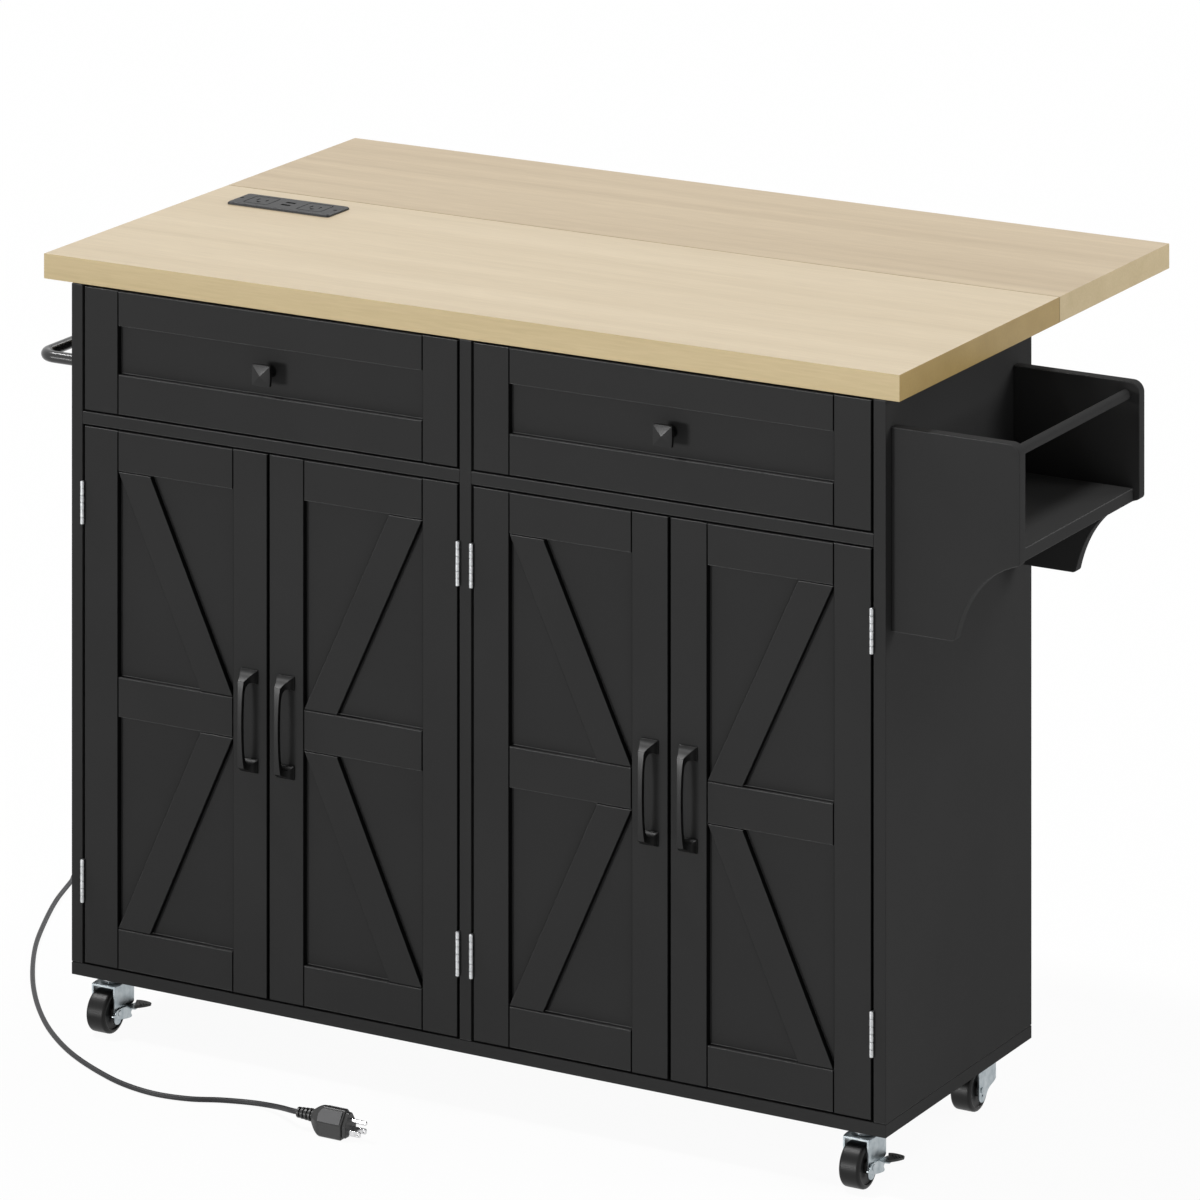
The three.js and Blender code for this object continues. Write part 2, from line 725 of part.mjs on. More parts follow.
function addDrawers() {
  const height = drawerFrontTop - drawerBottom;
  const width = bayWidth - 2 * doorGap;
  const [half, inner] = [width / 2, width / 2 - stripWidth];
  const recess = [stripWidth, height - drawerTopStrip];
  for (const { side, middle } of bays) {
    const front = join(
      panel(width, height),
      upright(-half + stripWidth / 2, stripWidth, 0, height),
      upright(half - stripWidth / 2, stripWidth, 0, height),
      level(stripWidth / 2, stripWidth, -inner + stripGroove, inner - stripGroove),
      level(height - drawerTopStrip / 2, drawerTopStrip, -inner + stripGroove, inner - stripGroove),
    );
    add(`drawer_front_${side}`, front, blackBoard, { at: [middle, 0, drawerBottom] });
    const knobZ = drawerBottom + (recess[0] + recess[1]) / 2;
    add(`drawer_knob_${side}`, knobSolid(), blackMetal, { at: [middle, overlay - fit, knobZ] });

    const [x, y, z] = [bayWidth / 2 - drawerBoxPlay, frontThickness + fit, railTop + drawerBoxRise];
    const depth = [y, y + drawerBoxDepth];
    const guide = runnerWidth / 2 + 1.5;
    const box = join(
      cut(
        block([-x, x], depth, [z, z + drawerBoxHeight]),
        block(
          [-x + drawerWall, x - drawerWall],
          [depth[0] + drawerWall, depth[1] - drawerWall],
          [z + drawerBase, z + drawerBoxHeight + 1],
        ),
      ),
      block([guide, guide + guideWidth], depth, [railTop + 0.5, z + 1]),
      block([-guide - guideWidth, -guide], depth, [railTop + 0.5, z + 1]),
    );
    add(`drawer_box_${side}`, box, drawerBoard, { at: [middle, 0, 0] });

    const runnerTop = railTop + 3;
    const [w, h, s] = [runnerWidth / 2, runnerTop - runnerHeight, runnerSheet];
    const channel = outlineOf([
      [-w, h],
      [-w + s, h],
      [-w + s, runnerTop - s],
      [w - s, runnerTop - s],
      [w - s, h],
      [w, h],
      [w, runnerTop],
      [-w, runnerTop],
    ]);
    const runner = prism(channel, "y", [railDepth + fit, backFace - fit]);
    add(`drawer_runner_${side}`, runner, zinc, { at: [middle, 0, 0] });
  }
}

// ---- things on the sides ------------------------------------------------------------------------
/** The end board of the spice rack, its back edge at x = 0 and its foot at z = 0. */
function rackEndOutline() {
  const toe = 5;
  const elbow = 4;
  const out = rackProjection;
  const shape = new THREE.Shape();
  shape.moveTo(0, 0);
  shape.lineTo(rackFoot - toe, 0);
  shape.quadraticCurveTo(rackFoot, 0, rackFoot + 1, toe);
  shape.quadraticCurveTo(rackFoot + rackCurveOut, rackCurveRise, out - elbow, rackLowerEdge);
  shape.quadraticCurveTo(out, rackLowerEdge + 1, out, rackLowerEdge + elbow + 1);
  shape.absarc(out - rackCorner, rackHeight - rackCorner, rackCorner, 0, Math.PI / 2, false);
  shape.lineTo(0, rackHeight);
  return shape;
}

function addSpiceRack() {
  const at = [halfWidth + fit, 0, top - rackTopDrop - rackHeight];
  const ends = [rackSetback, rackSetback + rackLength - rackBoard];
  const inside = [ends[0] + rackBoard + fit, ends[1] - fit];
  ["front", "rear"].forEach((place, index) => {
    const end = prism(rackEndOutline(), "y", [ends[index], ends[index] + rackBoard], 8);
    add(`spice_rack_${place}_end`, end, blackBoard, { at });
  });
  const shelf = roundedBoard([0, rackShelfDepth], inside, [rackShelfRise, rackShelfRise + board]);
  add("spice_rack_shelf", shelf, blackBoard, { at });
  add("spice_rack_rail", rod("y", rackRailRadius, inside, [rackRailOut, 0, rackRailRise], 14), blackBoard, {
    at,
  });
}

/** A round bar bent into a U, with a flange on each foot. */
function addTowelBar() {
  const arc = 5;
  const z = top - towelDrop;
  const x = -halfWidth - fit;
  const [near, far] = [towelSetback, towelSetback + towelSpan];
  const points = [new THREE.Vector3(x, near, z)];
  for (const [y, from] of [
    [near + towelBend, 270],
    [far - towelBend, 180],
  ]) {
    for (let step = 0; step <= arc; step++) {
      const angle = THREE.MathUtils.degToRad(from - (90 * step) / arc);
      points.push(
        new THREE.Vector3(
          x - towelReach + towelBend + towelBend * Math.cos(angle),
          y + towelBend * Math.sin(angle),
          z,
        ),
      );
    }
  }
  points.push(new THREE.Vector3(x, far, z));
  const flange = (y) => rod("x", towelFlange, [x - towelFlangeThickness, x], [0, y, z], 14);
  add("towel_bar", join(tube(points, towelRadius, 12), flange(near), flange(far)), blackMetal);
}

/** A flush power outlet let into the worktop: two mains sockets with two small ones between them. */
function addOutlet() {
  const surface = top + worktopThickness + fit;
  const plate = new THREE.ExtrudeGeometry(
    roundedRectangle(outletLength - 2 * edgeRound, outletDepth - 2 * edgeRound, outletCorner),
    {
      depth: outletPlate - 2 * edgeRound,
      bevelThickness: edgeRound,
      bevelSize: edgeRound,
      bevelSegments: 1,
      curveSegments: 3,
    },
  ).translate(0, 0, surface + edgeRound);
  const middleY = outletMiddle[1];
  const body = block(
    [-outletBody[0] / 2, outletBody[0] / 2],
    [outletFront + outletBodyMargin - middleY, outletFront + outletBodyMargin + outletBody[1] - middleY],
    [top + worktopThickness - outletBodyDepth, surface + 1],
  );
  const depth = [surface + outletPlate - socketDepth, surface + outletPlate + 1];
  const slots = [];
  for (const side of [-1, 1]) {
    const x = side * socketOffset;
    const along = [slotSetback - slotLength / 2, slotSetback + slotLength / 2];
    for (const slot of [x - socketPitch / 2, x + socketPitch / 2]) {
      slots.push(block([slot - slotWidth / 2, slot + slotWidth / 2], along, depth));
    }
    slots.push(rod("z", earthRadius, depth, [x, -earthOffset, 0], 8));
  }
  for (const y of [-smallSocketPitch / 2, smallSocketPitch / 2]) {
    const across = [-smallSocketWidth / 2, smallSocketWidth / 2];
    slots.push(block(across, [y - smallSocketHeight / 2, y + smallSocketHeight / 2], depth));
  }
  add("power_outlet", cut(join(solid(plate), body), ...slots), greyPlastic, {
    at: [...outletMiddle, 0],
  });
}

// ---- castors ------------------------------------------------------------------------------------
const castors = [
  ["front_left", -1, frontSwivel],
  ["front_right", 1, frontSwivel],
  ["rear_left", -1, rearSwivel],
  ["rear_right", 1, rearSwivel],
].map(([name, side, y]) => ({ name, x: side * (halfWidth - castorInset), y, braked: y === frontSwivel }));

/** Fork with its crown, kingpin and axle bolt. The axle is at the origin and runs along x. */
function forkSolid(braked) {
  const crownTop = castorHeight - castorPlate - raceHeight - swivelGap - wheelRadius;
  const outer = forkHalf + forkSheet;
  const [front, back] = [castorTrail - crownLength / 2, castorTrail + crownLength / 2];
  const leg = new THREE.Shape();
  leg.moveTo(front, crownTop);
  leg.lineTo(front, -legDrop);
  leg.absarc(0, -legDrop, -front, Math.PI, 1.9 * Math.PI, false);
  leg.lineTo(castorTrail, 0.25 * wheelRadius);
  leg.quadraticCurveTo(back, 0.45 * wheelRadius, back, wheelRadius);
  leg.lineTo(back, crownTop);
  const plan = prism(roundedRectangle(2 * outer, crownLength, 3), "z", [-wheelRadius, crownTop], 2);
  const inside = block(
    [-forkHalf, forkHalf],
    [front - 1, back + 1],
    [-wheelRadius, crownTop - forkSheet],
  );
  const shell = cut(prism(leg, "x", [-outer, outer], 5), inside);
  const bolt = outer + (braked ? pedalSheet + 2 * pedalPlay : 0);
  const kingpin = [crownTop - 2 * forkSheet, crownTop - 1];
  return join(
    shell.intersect(plan.translate(0, castorTrail, 0)),
    rod("x", axleRadius, [-outer - nutLength / 2, bolt + nutLength / 2], [0, 0, 0], 10),
    rod("x", nutRadius, [-outer - nutLength, -outer + forkSheet / 2], [0, 0, 0], 8),
    rod("x", nutRadius, [bolt, bolt + nutLength], [0, 0, 0], 6),
    rod("z", kingpinRadius, kingpin, [0, castorTrail, 0], 8),
  );
}

function wheelSolid() {
  const [half, hubFace] = [wheelWidth / 2, wheelWidth / 2 + hubProud];
  const bore = axleRadius + pivotPlay;
  const profile = [
    [bore, -hubFace],
    [hubRadius, -hubFace],
    [hubRadius, -half + wheelDish],
    [wheelRadius - treadRound - wheelDish, -half + wheelDish],
    [wheelRadius - treadRound, -half],
    [wheelRadius, -half + treadRound],
  ];
  const mirrored = profile.map(([radius, x]) => [radius, -x]).reverse();
  return turned([...profile, ...mirrored, profile[0]], 20).rotate([0, 90, 0]);
}

/** Brake lever: a plate beside the fork, turning on the axle bolt, with a tongue to step on behind it. */
function pedalSolid() {
  const inner = forkHalf + forkSheet + pedalPlay;
  const plate = new THREE.Shape();
  plate.absarc(0, 0, pedalHub, 0.72 * Math.PI, 1.85 * Math.PI, false);
  plate.lineTo(pedalRoot + 4, pedalStepHeight - 2 * pedalStep);
  plate.lineTo(pedalRoot + 12, pedalStepHeight - 1);
  plate.lineTo(pedalRoot + 11, pedalStepHeight + pedalStep);
  plate.lineTo(pedalRoot - 4, pedalStepHeight + pedalStep);
  const middle = (pedalRoot + pedalReach) / 2;
  const tongue = new THREE.Shape();
  tongue.moveTo(inner, pedalRoot - 2);
  tongue.lineTo(inner + pedalWidth - 2, pedalRoot);
  tongue.quadraticCurveTo(inner + pedalWidth, pedalReach - 6, inner + 0.7 * pedalWidth, pedalReach);
  tongue.quadraticCurveTo(inner + 1, pedalReach - 6, inner, middle - 4);
  const level = prism(tongue, "z", [0, pedalStep], 4).translate(0, -pedalRoot, 0);
  const step = level.rotate([-pedalSlope, 0, 0]).translate(0, pedalRoot, pedalStepHeight);
  return cut(
    join(prism(plate, "x", [inner, inner + pedalSheet], 5), step),
    rod("x", axleRadius + pivotPlay, [forkHalf, inner + pedalWidth], [0, 0, 0], 10),
  );
}

function addCastors() {
  for (const { name, x, y, braked } of castors) {
    const at = [x, y - castorTrail, wheelRadius];
    add(`castor_${name}_fork`, forkSolid(braked), zinc, { at });
    add(`castor_${name}_wheel`, wheelSolid(), blackPlastic, { at });
    if (braked) add(`castor_${name}_brake`, pedalSolid(), blackMetal, { at });
  }
}

// ---- mains lead ---------------------------------------------------------------------------------
// The lead's route along its centre line, from the gland in the back panel down to the floor, round the
// cabinet's left side and along its front to the plug.
const cordRoute = [
  [-470, 409, 460],
  [-470, 419.7, 457.9],
  [-470.2, 428.8, 451.8],
  [-470.4, 434.9, 442.7],
  [-470.6, 437, 432],
  [-471, 437.5, 400],
  [-472, 438, 300],
  [-474, 438, 180],
  [-477, 441, 80],
  [-483, 445, 36],
  [-497, 452, 12],
  [-520, 460, 4],
  [-560, 470, 3.3],
  [-640, 487, 3.3],
  [-720, 497, 3.3],
  [-785, 499, 3.3],
  [-826, 486, 3.3],
  [-841, 459, 3.3],
  [-831.7, 434.4, 3.3],
  [-807, 363.8, 3.3],
  [-772.1, 285.2, 3.3],
  [-736.3, 214.1, 3.3],
  [-690.9, 140.2, 3.3],
  [-646, 77.2, 3.3],
  [-596.9, 18.5, 3.3],
  [-548.7, -29.8, 3.3],
  [-490.4, -75.8, 3.3],
  [-430, -110.4, 3.3],
  [-379.4, -131.3, 3.3],
  [-330.7, -139.5, 3.3],
  [-288.4, -133.2, 3.3],
  [-254.9, -118.6, 3.3],
  [-219, -110, 4],
  [-190, -114, 7],
  [-166, -127, 12.5],
  [-150, -137, 16.2],
];
const cordSteps = 75;

/** Stations of the fixed lead from under the outlet's body, down behind the drawer and into the gland. */
function fixedLeadStations(gland) {
  const from = [
    outletMiddle[0],
    outletFront + outletBodyMargin + outletBody[1] / 2,
    top + worktopThickness - outletBodyDepth - fit,
  ];
  const to = [gland[0], backFace - leadBend, glandHeight + leadBend];
  const stations = [];
  const fallSteps = 6;
  for (let step = 0; step < fallSteps; step++) {
    const share = step / fallSteps;
    const eased = share * share * (3 - 2 * share);
    stations.push([
      from[0] + eased * (to[0] - from[0]),
      from[1] + eased * (to[1] - from[1]),
      from[2] + share * (to[2] - from[2]),
    ]);
  }
  const bendSteps = 4;
  for (let step = 0; step <= bendSteps; step++) {
    const angle = (Math.PI / 2) * (step / bendSteps);
    stations.push([to[0], backFace - leadBend * Math.cos(angle), to[2] - leadBend * Math.sin(angle)]);
  }
  stations.push([to[0], backFace + backThickness / 4, glandHeight]);
  return stations.map((place) => new THREE.Vector3(...place));
}

/** Ribbed strain relief that the lead leaves the back panel through, its axis along y, and the lead inside it. */
function addGland() {
  const ribs = 4;
  const profile = [
    [0, -backThickness],
    [6, -backThickness],
    [6, fit],
    [10, fit],
    [10, 3],
    [6.5, 3.5],
  ];
  const pitch = (glandLength - 6) / ribs;
  for (let index = 0; index < ribs; index++) {
    const z = 3.5 + index * pitch;
    const radius = 6.3 - 0.35 * index;
    profile.push([radius, z + 0.3 * pitch], [radius, z + 0.7 * pitch], [radius - 1.1, z + 0.8 * pitch]);
  }
  profile.push([4.3, glandLength], [0, glandLength]);
  const at = [-halfWidth + glandLeft, cabinetDepth, glandHeight];
  const lead = tube(fixedLeadStations(at), cordRadius, 6).translate(...at.map((value) => -value));
  add("cord_gland", join(turned(profile, 10).rotate([-90, 0, 0]), lead), blackPlastic, { at });
}

function addCord() {
  const start = new THREE.Vector3(-halfWidth + glandLeft, cabinetDepth + glandLength + fit, glandHeight);
  const end = new THREE.Vector3(plugStart[0] - fit, plugStart[1], plugAxis + fit);
  const straight = 2 * cordRadius;
  const route = [
    start.clone().setY(start.y + straight),
    ...cordRoute.map((place) => new THREE.Vector3(...place)),
    end.clone().setX(end.x - straight),
  ];
  const path = new THREE.CatmullRomCurve3(route, false, "centripetal");
  path.arcLengthDivisions = 2000;
  const stations = [start, ...path.getSpacedPoints(cordSteps - 2), end];
  const cord = tube(stations, cordRadius, 8);
  add("power_cord", cord, blackPlastic, { cordPiece: true });
}

/** Moulded mains plug lying on its flat side: two blades below and the round earth pin above them. */
function addPlug() {
  const ribs = 4;
  const pitch = plugRelief / ribs;
  const groove = 1.5;
  const profile = [[0, 0]];
  for (let index = 0; index < ribs; index++) {
    const radius = 6 + 0.4 * index;
    const from = index * pitch;
    profile.push([radius, from], [radius, from + 0.6 * pitch]);
    profile.push([radius - groove, from + 0.7 * pitch], [radius - groove, from + 0.95 * pitch]);
  }
  profile.push([7, plugRelief], [7, plugRelief + 3], [0, plugRelief + 3]);
  const relief = turned(profile, 10).rotate([0, 90, 0]).translate(0, 0, plugAxis);

  const bodyStart = plugRelief + plugShoulder;
  const bodyEnd = bodyStart + plugBody;
  const section = (inset) =>
    outlineOf([
      [-plugWidth / 2 + inset, inset],
      [plugWidth / 2 - inset, inset],
      [plugWidth / 2 - inset, plugSideHeight],
      [plugRidge / 2, plugHeight - inset],
      [-plugRidge / 2, plugHeight - inset],
      [-plugWidth / 2 + inset, plugSideHeight],
    ]);
  const neck = 6.5;
  const plan = outlineOf([
    [plugRelief, -neck],
    [bodyStart, -plugWidth / 2 - 1],
    [bodyEnd, -plugWidth / 2 - 1],
    [bodyEnd, plugWidth / 2 + 1],
    [bodyStart, plugWidth / 2 + 1],
    [plugRelief, neck],
  ]);
  const elevation = outlineOf([
    [plugRelief, plugAxis - neck],
    [bodyStart, -1],
    [bodyEnd, -1],
    [bodyEnd, plugHeight + 1],
    [bodyStart, plugHeight + 1],
    [plugRelief, plugAxis + neck],
  ]);
  const body = prism(section(0), "x", [plugRelief, bodyEnd])
    .intersect(prism(plan, "z", [-2, plugHeight + 2]))
    .intersect(prism(elevation, "y", [-plugWidth, plugWidth]));
  const face = bodyEnd + plugNose;
  const nose = prism(section(plugNoseInset), "x", [bodyEnd - 1, face]);

  const blades = [-bladeSpacing / 2, bladeSpacing / 2].map((y) =>
    cut(
      block(
        [face - 1, face + bladeLength],
        [y - bladeThickness / 2, y + bladeThickness / 2],
        [bladeRise - bladeHeight / 2 + plugNoseInset, bladeRise + bladeHeight / 2 + plugNoseInset],
      ),
      rod("y", bladeHole / 2, [y - 2, y + 2], [face + bladeLength - bladeHole, 0, bladeRise + plugNoseInset], 8),
    ),
  );
  const groundZ = bladeRise + plugNoseInset + groundOffset;
  const ground = rod("x", groundDiameter / 2, [face - 1, face + groundLength], [0, 0, groundZ], 10);
  add("power_plug", join(relief, body, nose, ...blades, ground), blackPlastic, {
    at: [...plugStart, fit],
    cordPiece: true,
  });
}

// ---- the whole island ---------------------------------------------------------------------------
addCarcass();
addBottomPanel();
addWorktop();
addLeaf();
addLeafHinge();
addBraces();
addDrawers();
addDoors();
addSpiceRack();
addTowelBar();
addOutlet();
addCastors();
addGland();
addCord();
addPlug();

// The origin is on the floor, in the middle of the island's box without its lead.
const footprint = new THREE.Box3();
island.updateMatrixWorld(true);
for (const mesh of island.children) {
  if (!onCord.has(mesh)) footprint.expandByObject(mesh, true);
}
const middle = footprint.getCenter(new THREE.Vector3());
island.position.set(-middle.x, -middle.y, -footprint.min.z);

export default island;
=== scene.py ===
# Drop leaf kitchen island: looks. Lengths in the forms below are millimetres in the cabinet's own frame:
# x = 0 is the cabinet's middle, y = 0 its front face and z = 0 the floor.
import bmesh
import bpy
import math
import re
from mathutils import Matrix, Vector


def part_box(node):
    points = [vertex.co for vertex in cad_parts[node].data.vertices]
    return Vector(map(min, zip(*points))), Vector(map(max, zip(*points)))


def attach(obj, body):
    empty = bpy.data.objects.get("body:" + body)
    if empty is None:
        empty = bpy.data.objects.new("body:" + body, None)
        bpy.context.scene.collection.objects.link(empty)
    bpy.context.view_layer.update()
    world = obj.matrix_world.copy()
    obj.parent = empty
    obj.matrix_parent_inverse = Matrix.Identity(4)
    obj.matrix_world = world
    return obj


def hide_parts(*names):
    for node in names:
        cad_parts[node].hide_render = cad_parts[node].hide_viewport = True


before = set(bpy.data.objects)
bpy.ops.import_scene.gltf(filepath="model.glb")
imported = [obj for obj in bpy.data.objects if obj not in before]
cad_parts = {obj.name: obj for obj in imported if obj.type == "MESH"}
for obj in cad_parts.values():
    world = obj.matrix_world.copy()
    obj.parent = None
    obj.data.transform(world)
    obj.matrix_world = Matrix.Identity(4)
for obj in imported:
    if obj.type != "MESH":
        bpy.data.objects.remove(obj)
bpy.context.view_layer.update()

MM = 0.001
left_low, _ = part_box("side_panel_left")
_, right_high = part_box("side_panel_right")
ORIGIN = Vector(((left_low.x + right_high.x) / 2, left_low.y, 0.0))


def row(point):
    """A point in cabinet millimetres as a point of the row frame in metres."""
    return Vector(point) * MM + ORIGIN


# ---- camera -------------------------------------------------------------------------------------
CAMERA_YAW = math.radians(29.6006)
CAMERA_PLACE = (4142.2, -6980.1, 2925.3)
FOCAL = 7102.86  # pixels of a 1200 pixel frame, measured level
HORIZON = 2050.27  # pixels from the frame's middle up to the horizon
FRAME_PIXELS = 1200
SENSOR = 36


def make_camera():
    """The photograph keeps its uprights parallel: the camera's axis slopes down and its up stays upright."""
    camera = bpy.data.objects.new("camera", bpy.data.cameras.new("camera"))
    bpy.context.scene.collection.objects.link(camera)
    ahead = Vector((-math.sin(CAMERA_YAW), math.cos(CAMERA_YAW), 0))
    right = Vector((math.cos(CAMERA_YAW), math.sin(CAMERA_YAW), 0))
    aim = ahead * FOCAL - Vector((0, 0, HORIZON))
    back = -aim.normalized()
    place = row(CAMERA_PLACE)
    lean = Matrix.Identity(4)
    for index, column in enumerate((right, Vector((0, 0, 1)), back)):
        for axis in range(3):
            lean[axis][index] = column[axis]
    for axis in range(3):
        lean[axis][3] = place[axis]
    stand = bpy.data.objects.new("camera_stand", None)
    bpy.context.scene.collection.objects.link(stand)
    camera.parent = stand
    camera.matrix_parent_inverse = lean
    camera.data.sensor_width = SENSOR
    camera.data.lens = aim.length / FRAME_PIXELS * SENSOR
    camera.data.clip_start = 0.1
    camera.data.clip_end = 100
    bpy.context.scene.camera = camera


make_camera()

# ---- mains lead ---------------------------------------------------------------------------------
CORD_RADIUS = 3
CORD_START = (-470, 395.3, 460)
CORD_END = (-137.8, -140, 17.3)
CORD_ROUTE = [
    (-470, 409, 460), (-470, 419.7, 457.9), (-470.2, 428.8, 451.8), (-470.4, 434.9, 442.7),
    (-470.6, 437, 432), (-471, 437.5, 400), (-472, 438, 300), (-474, 438, 180), (-477, 441, 80),
    (-483, 445, 36), (-497, 452, 12), (-520, 460, 4), (-560, 470, 3.3), (-640, 487, 3.3), (-720, 497, 3.3),
    (-785, 499, 3.3), (-826, 486, 3.3), (-841, 459, 3.3), (-831.7, 434.4, 3.3), (-807, 363.8, 3.3),
    (-772.1, 285.2, 3.3), (-736.3, 214.1, 3.3), (-690.9, 140.2, 3.3), (-646, 77.2, 3.3),
    (-596.9, 18.5, 3.3), (-548.7, -29.8, 3.3), (-490.4, -75.8, 3.3), (-430, -110.4, 3.3),
    (-379.4, -131.3, 3.3), (-330.7, -139.5, 3.3), (-288.4, -133.2, 3.3), (-254.9, -118.6, 3.3),
    (-219, -110, 4), (-190, -114, 7), (-166, -127, 12.5), (-150, -137, 16.2),
]


def centripetal(points, per_span):
    """Points of the centripetal Catmull-Rom curve through the given ones."""
    points = [Vector(p) for p in points]
    ends = [2 * points[0] - points[1], *points, 2 * points[-1] - points[-2]]
    line = []
    for p0, p1, p2, p3 in zip(ends, ends[1:], ends[2:], ends[3:]):
        t1 = math.sqrt((p1 - p0).length)
        t2 = t1 + math.sqrt((p2 - p1).length)
        t3 = t2 + math.sqrt((p3 - p2).length)
        for step in range(per_span):
            t = t1 + (t2 - t1) * step / per_span
            a1 = (t1 - t) / t1 * p0 + t / t1 * p1
            a2 = (t2 - t) / (t2 - t1) * p1 + (t - t1) / (t2 - t1) * p2
            a3 = (t3 - t) / (t3 - t2) * p2 + (t - t2) / (t3 - t2) * p3
            b1 = (t2 - t) / t2 * a1 + t / t2 * a2
            b2 = (t3 - t) / (t3 - t1) * a2 + (t - t1) / (t3 - t1) * a3
            line.append((t2 - t) / (t2 - t1) * b1 + (t - t1) / (t2 - t1) * b2)
    return line + [points[-1]]


straight = 2 * CORD_RADIUS
route = [
    (CORD_START[0], CORD_START[1] + straight, CORD_START[2]),
    *CORD_ROUTE,
    (CORD_END[0] - straight, CORD_END[1], CORD_END[2]),
]
cord_line = [Vector(CORD_START), *centripetal(route, 8), Vector(CORD_END)]


# ---- shape tools --------------------------------------------------------------------------------
class Form:
    """A closed shape in cabinet millimetres."""

    def __init__(self, verts=(), faces=()):
        self.verts = [Vector(v) for v in verts]
        self.faces = [tuple(f) for f in faces]

    def __add__(self, other):
        first = len(self.verts)
        moved = [tuple(i + first for i in f) for f in other.faces]
        return Form([*self.verts, *other.verts], [*self.faces, *moved])

    def at(self, x=0.0, y=0.0, z=0.0):
        return Form([v + Vector((x, y, z)) for v in self.verts], self.faces)

    def turn(self, axis, degrees):
        turned = Matrix.Rotation(math.radians(degrees), 3, axis)
        return Form([turned @ v for v in self.verts], self.faces)


def total(forms):
    forms = list(forms)
    out = forms[0]
    for form in forms[1:]:
        out = out + form
    return out


def loft(rings, close=False):
    """Quads between rings of equal length, with a face on each end."""
    count = len(rings[0])
    verts = [p for ring in rings for p in ring]
    faces = []
    for index in range(len(rings) - (0 if close else 1)):
        low, high = index * count, (index + 1) % len(rings) * count
        for side in range(count):
            after = (side + 1) % count
            faces.append((low + side, low + after, high + after, high + side))
    if not close:
        faces.append(tuple(reversed(range(count))))
        last = (len(rings) - 1) * count
        faces.append(tuple(range(last, last + count)))
    return Form(verts, faces)


def lathe(profile, sides=32, close=False):
    """A profile of (radius, height) pairs turned about z. A radius of 0 is a point on the axis."""
    rings = []
    for radius, height in profile:
        rings.append(
            [
                (
                    radius * math.cos(2 * math.pi * k / sides),
                    radius * math.sin(2 * math.pi * k / sides),
                    height,
                )
                for k in range(sides)
            ]
        )
    return loft(rings, close)


AXIS_TURN = {
    "x": lambda u, v, w: (w, u, v),
    "y": lambda u, v, w: (u, w, v),
    "z": lambda u, v, w: (u, v, w),
}


def prism(outline, axis, low, high):
    """An outline along an axis. Its coordinates are (y, z) for x, (x, z) for y and (x, y) for z."""
    place = AXIS_TURN[axis]
    return loft([[place(u, v, w) for u, v in outline] for w in (low, high)])


def box(x, y, z):
    return prism([(x[0], y[0]), (x[1], y[0]), (x[1], y[1]), (x[0], y[1])], "z", *z)


def arc(centre, radius, start, end, steps=8):
    """Points of an arc, from one angle in degrees to another."""
    return [
        (
            centre[0] + radius * math.cos(math.radians(start + (end - start) * k / steps)),
            centre[1] + radius * math.sin(math.radians(start + (end - start) * k / steps)),
        )
        for k in range(steps + 1)
    ]


def quadratic(start, control, end, steps=8):
    """Points of a curve with one control point, without its start."""
    out = []
    for k in range(1, steps + 1):
        t = k / steps
        out.append(
            tuple(
                (1 - t) ** 2 * a + 2 * t * (1 - t) * b + t * t * c
                for a, b, c in zip(start, control, end)
            )
        )
    return out


def rounded_rectangle(width, height, radius, steps=6):
    x, y = width / 2 - radius, height / 2 - radius
    return [
        *arc((x, y), radius, 0, 90, steps),
        *arc((-x, y), radius, 90, 180, steps),
        *arc((-x, -y), radius, 180, 270, steps),
        *arc((x, -y), radius, 270, 360, steps),
    ]


def rod(axis, radius, low, high, sides=24):
    form = lathe([(radius, low), (radius, high)], sides)
    if axis == "x":
        return form.turn("Y", 90)
    if axis == "y":
        return form.turn("X", -90)
    return form


def smooth_line(points, steps):
    """Catmull-Rom points through the given ones, equal steps in each span."""
    points = [Vector(p) for p in points]
    ends = [2 * points[0] - points[1], *points, 2 * points[-1] - points[-2]]
    line = []
    for p0, p1, p2, p3 in zip(ends, ends[1:], ends[2:], ends[3:]):
        for k in range(steps):
            t = k / steps
            line.append(
                0.5
                * (
                    2 * p1
                    + (p2 - p0) * t
                    + (2 * p0 - 5 * p1 + 4 * p2 - p3) * t * t
                    + (3 * p1 - p0 - 3 * p2 + p3) * t**3
                )
            )
    return line + [points[-1]]


def sweep(points, radius, sides=20):
    """A round tube along points, with flat ends."""
    points = [Vector(p) for p in points]
    rings = []
    normal = None
    for index, point in enumerate(points):
        before, after = points[max(index - 1, 0)], points[min(index + 1, len(points) - 1)]
        along = (after - before).normalized()
        if normal is None:
            normal = along.orthogonal().normalized()
        normal = (normal - along * normal.dot(along)).normalized()
        other = along.cross(normal)
        rings.append(
            [
                point
                + normal * (radius * math.cos(2 * math.pi * k / sides))
                + other * (radius * math.sin(2 * math.pi * k / sides))
                for k in range(sides)
            ]
        )
    return loft(rings)


def mesh_of(name, form):
    """A mesh with doubles merged and normals outward."""
    mesh = bpy.data.meshes.new(name)
    data = bmesh.new()
    verts = [data.verts.new(v) for v in form.verts]
    for face in form.faces:
        corners = []
        for index in face:
            if verts[index] not in corners:
                corners.append(verts[index])
        if len(corners) > 2 and data.faces.get(corners) is None:
            data.faces.new(corners)
    bmesh.ops.remove_doubles(data, verts=data.verts, dist=1e-4)
    bmesh.ops.dissolve_degenerate(data, edges=data.edges, dist=1e-5)
    bmesh.ops.recalc_face_normals(data, faces=data.faces)
    data.to_mesh(mesh)
    data.free()
    return mesh


def evaluated(thing):
    bpy.context.view_layer.update()
    graph = bpy.context.evaluated_depsgraph_get()
    return bpy.data.meshes.new_from_object(thing.evaluated_get(graph))


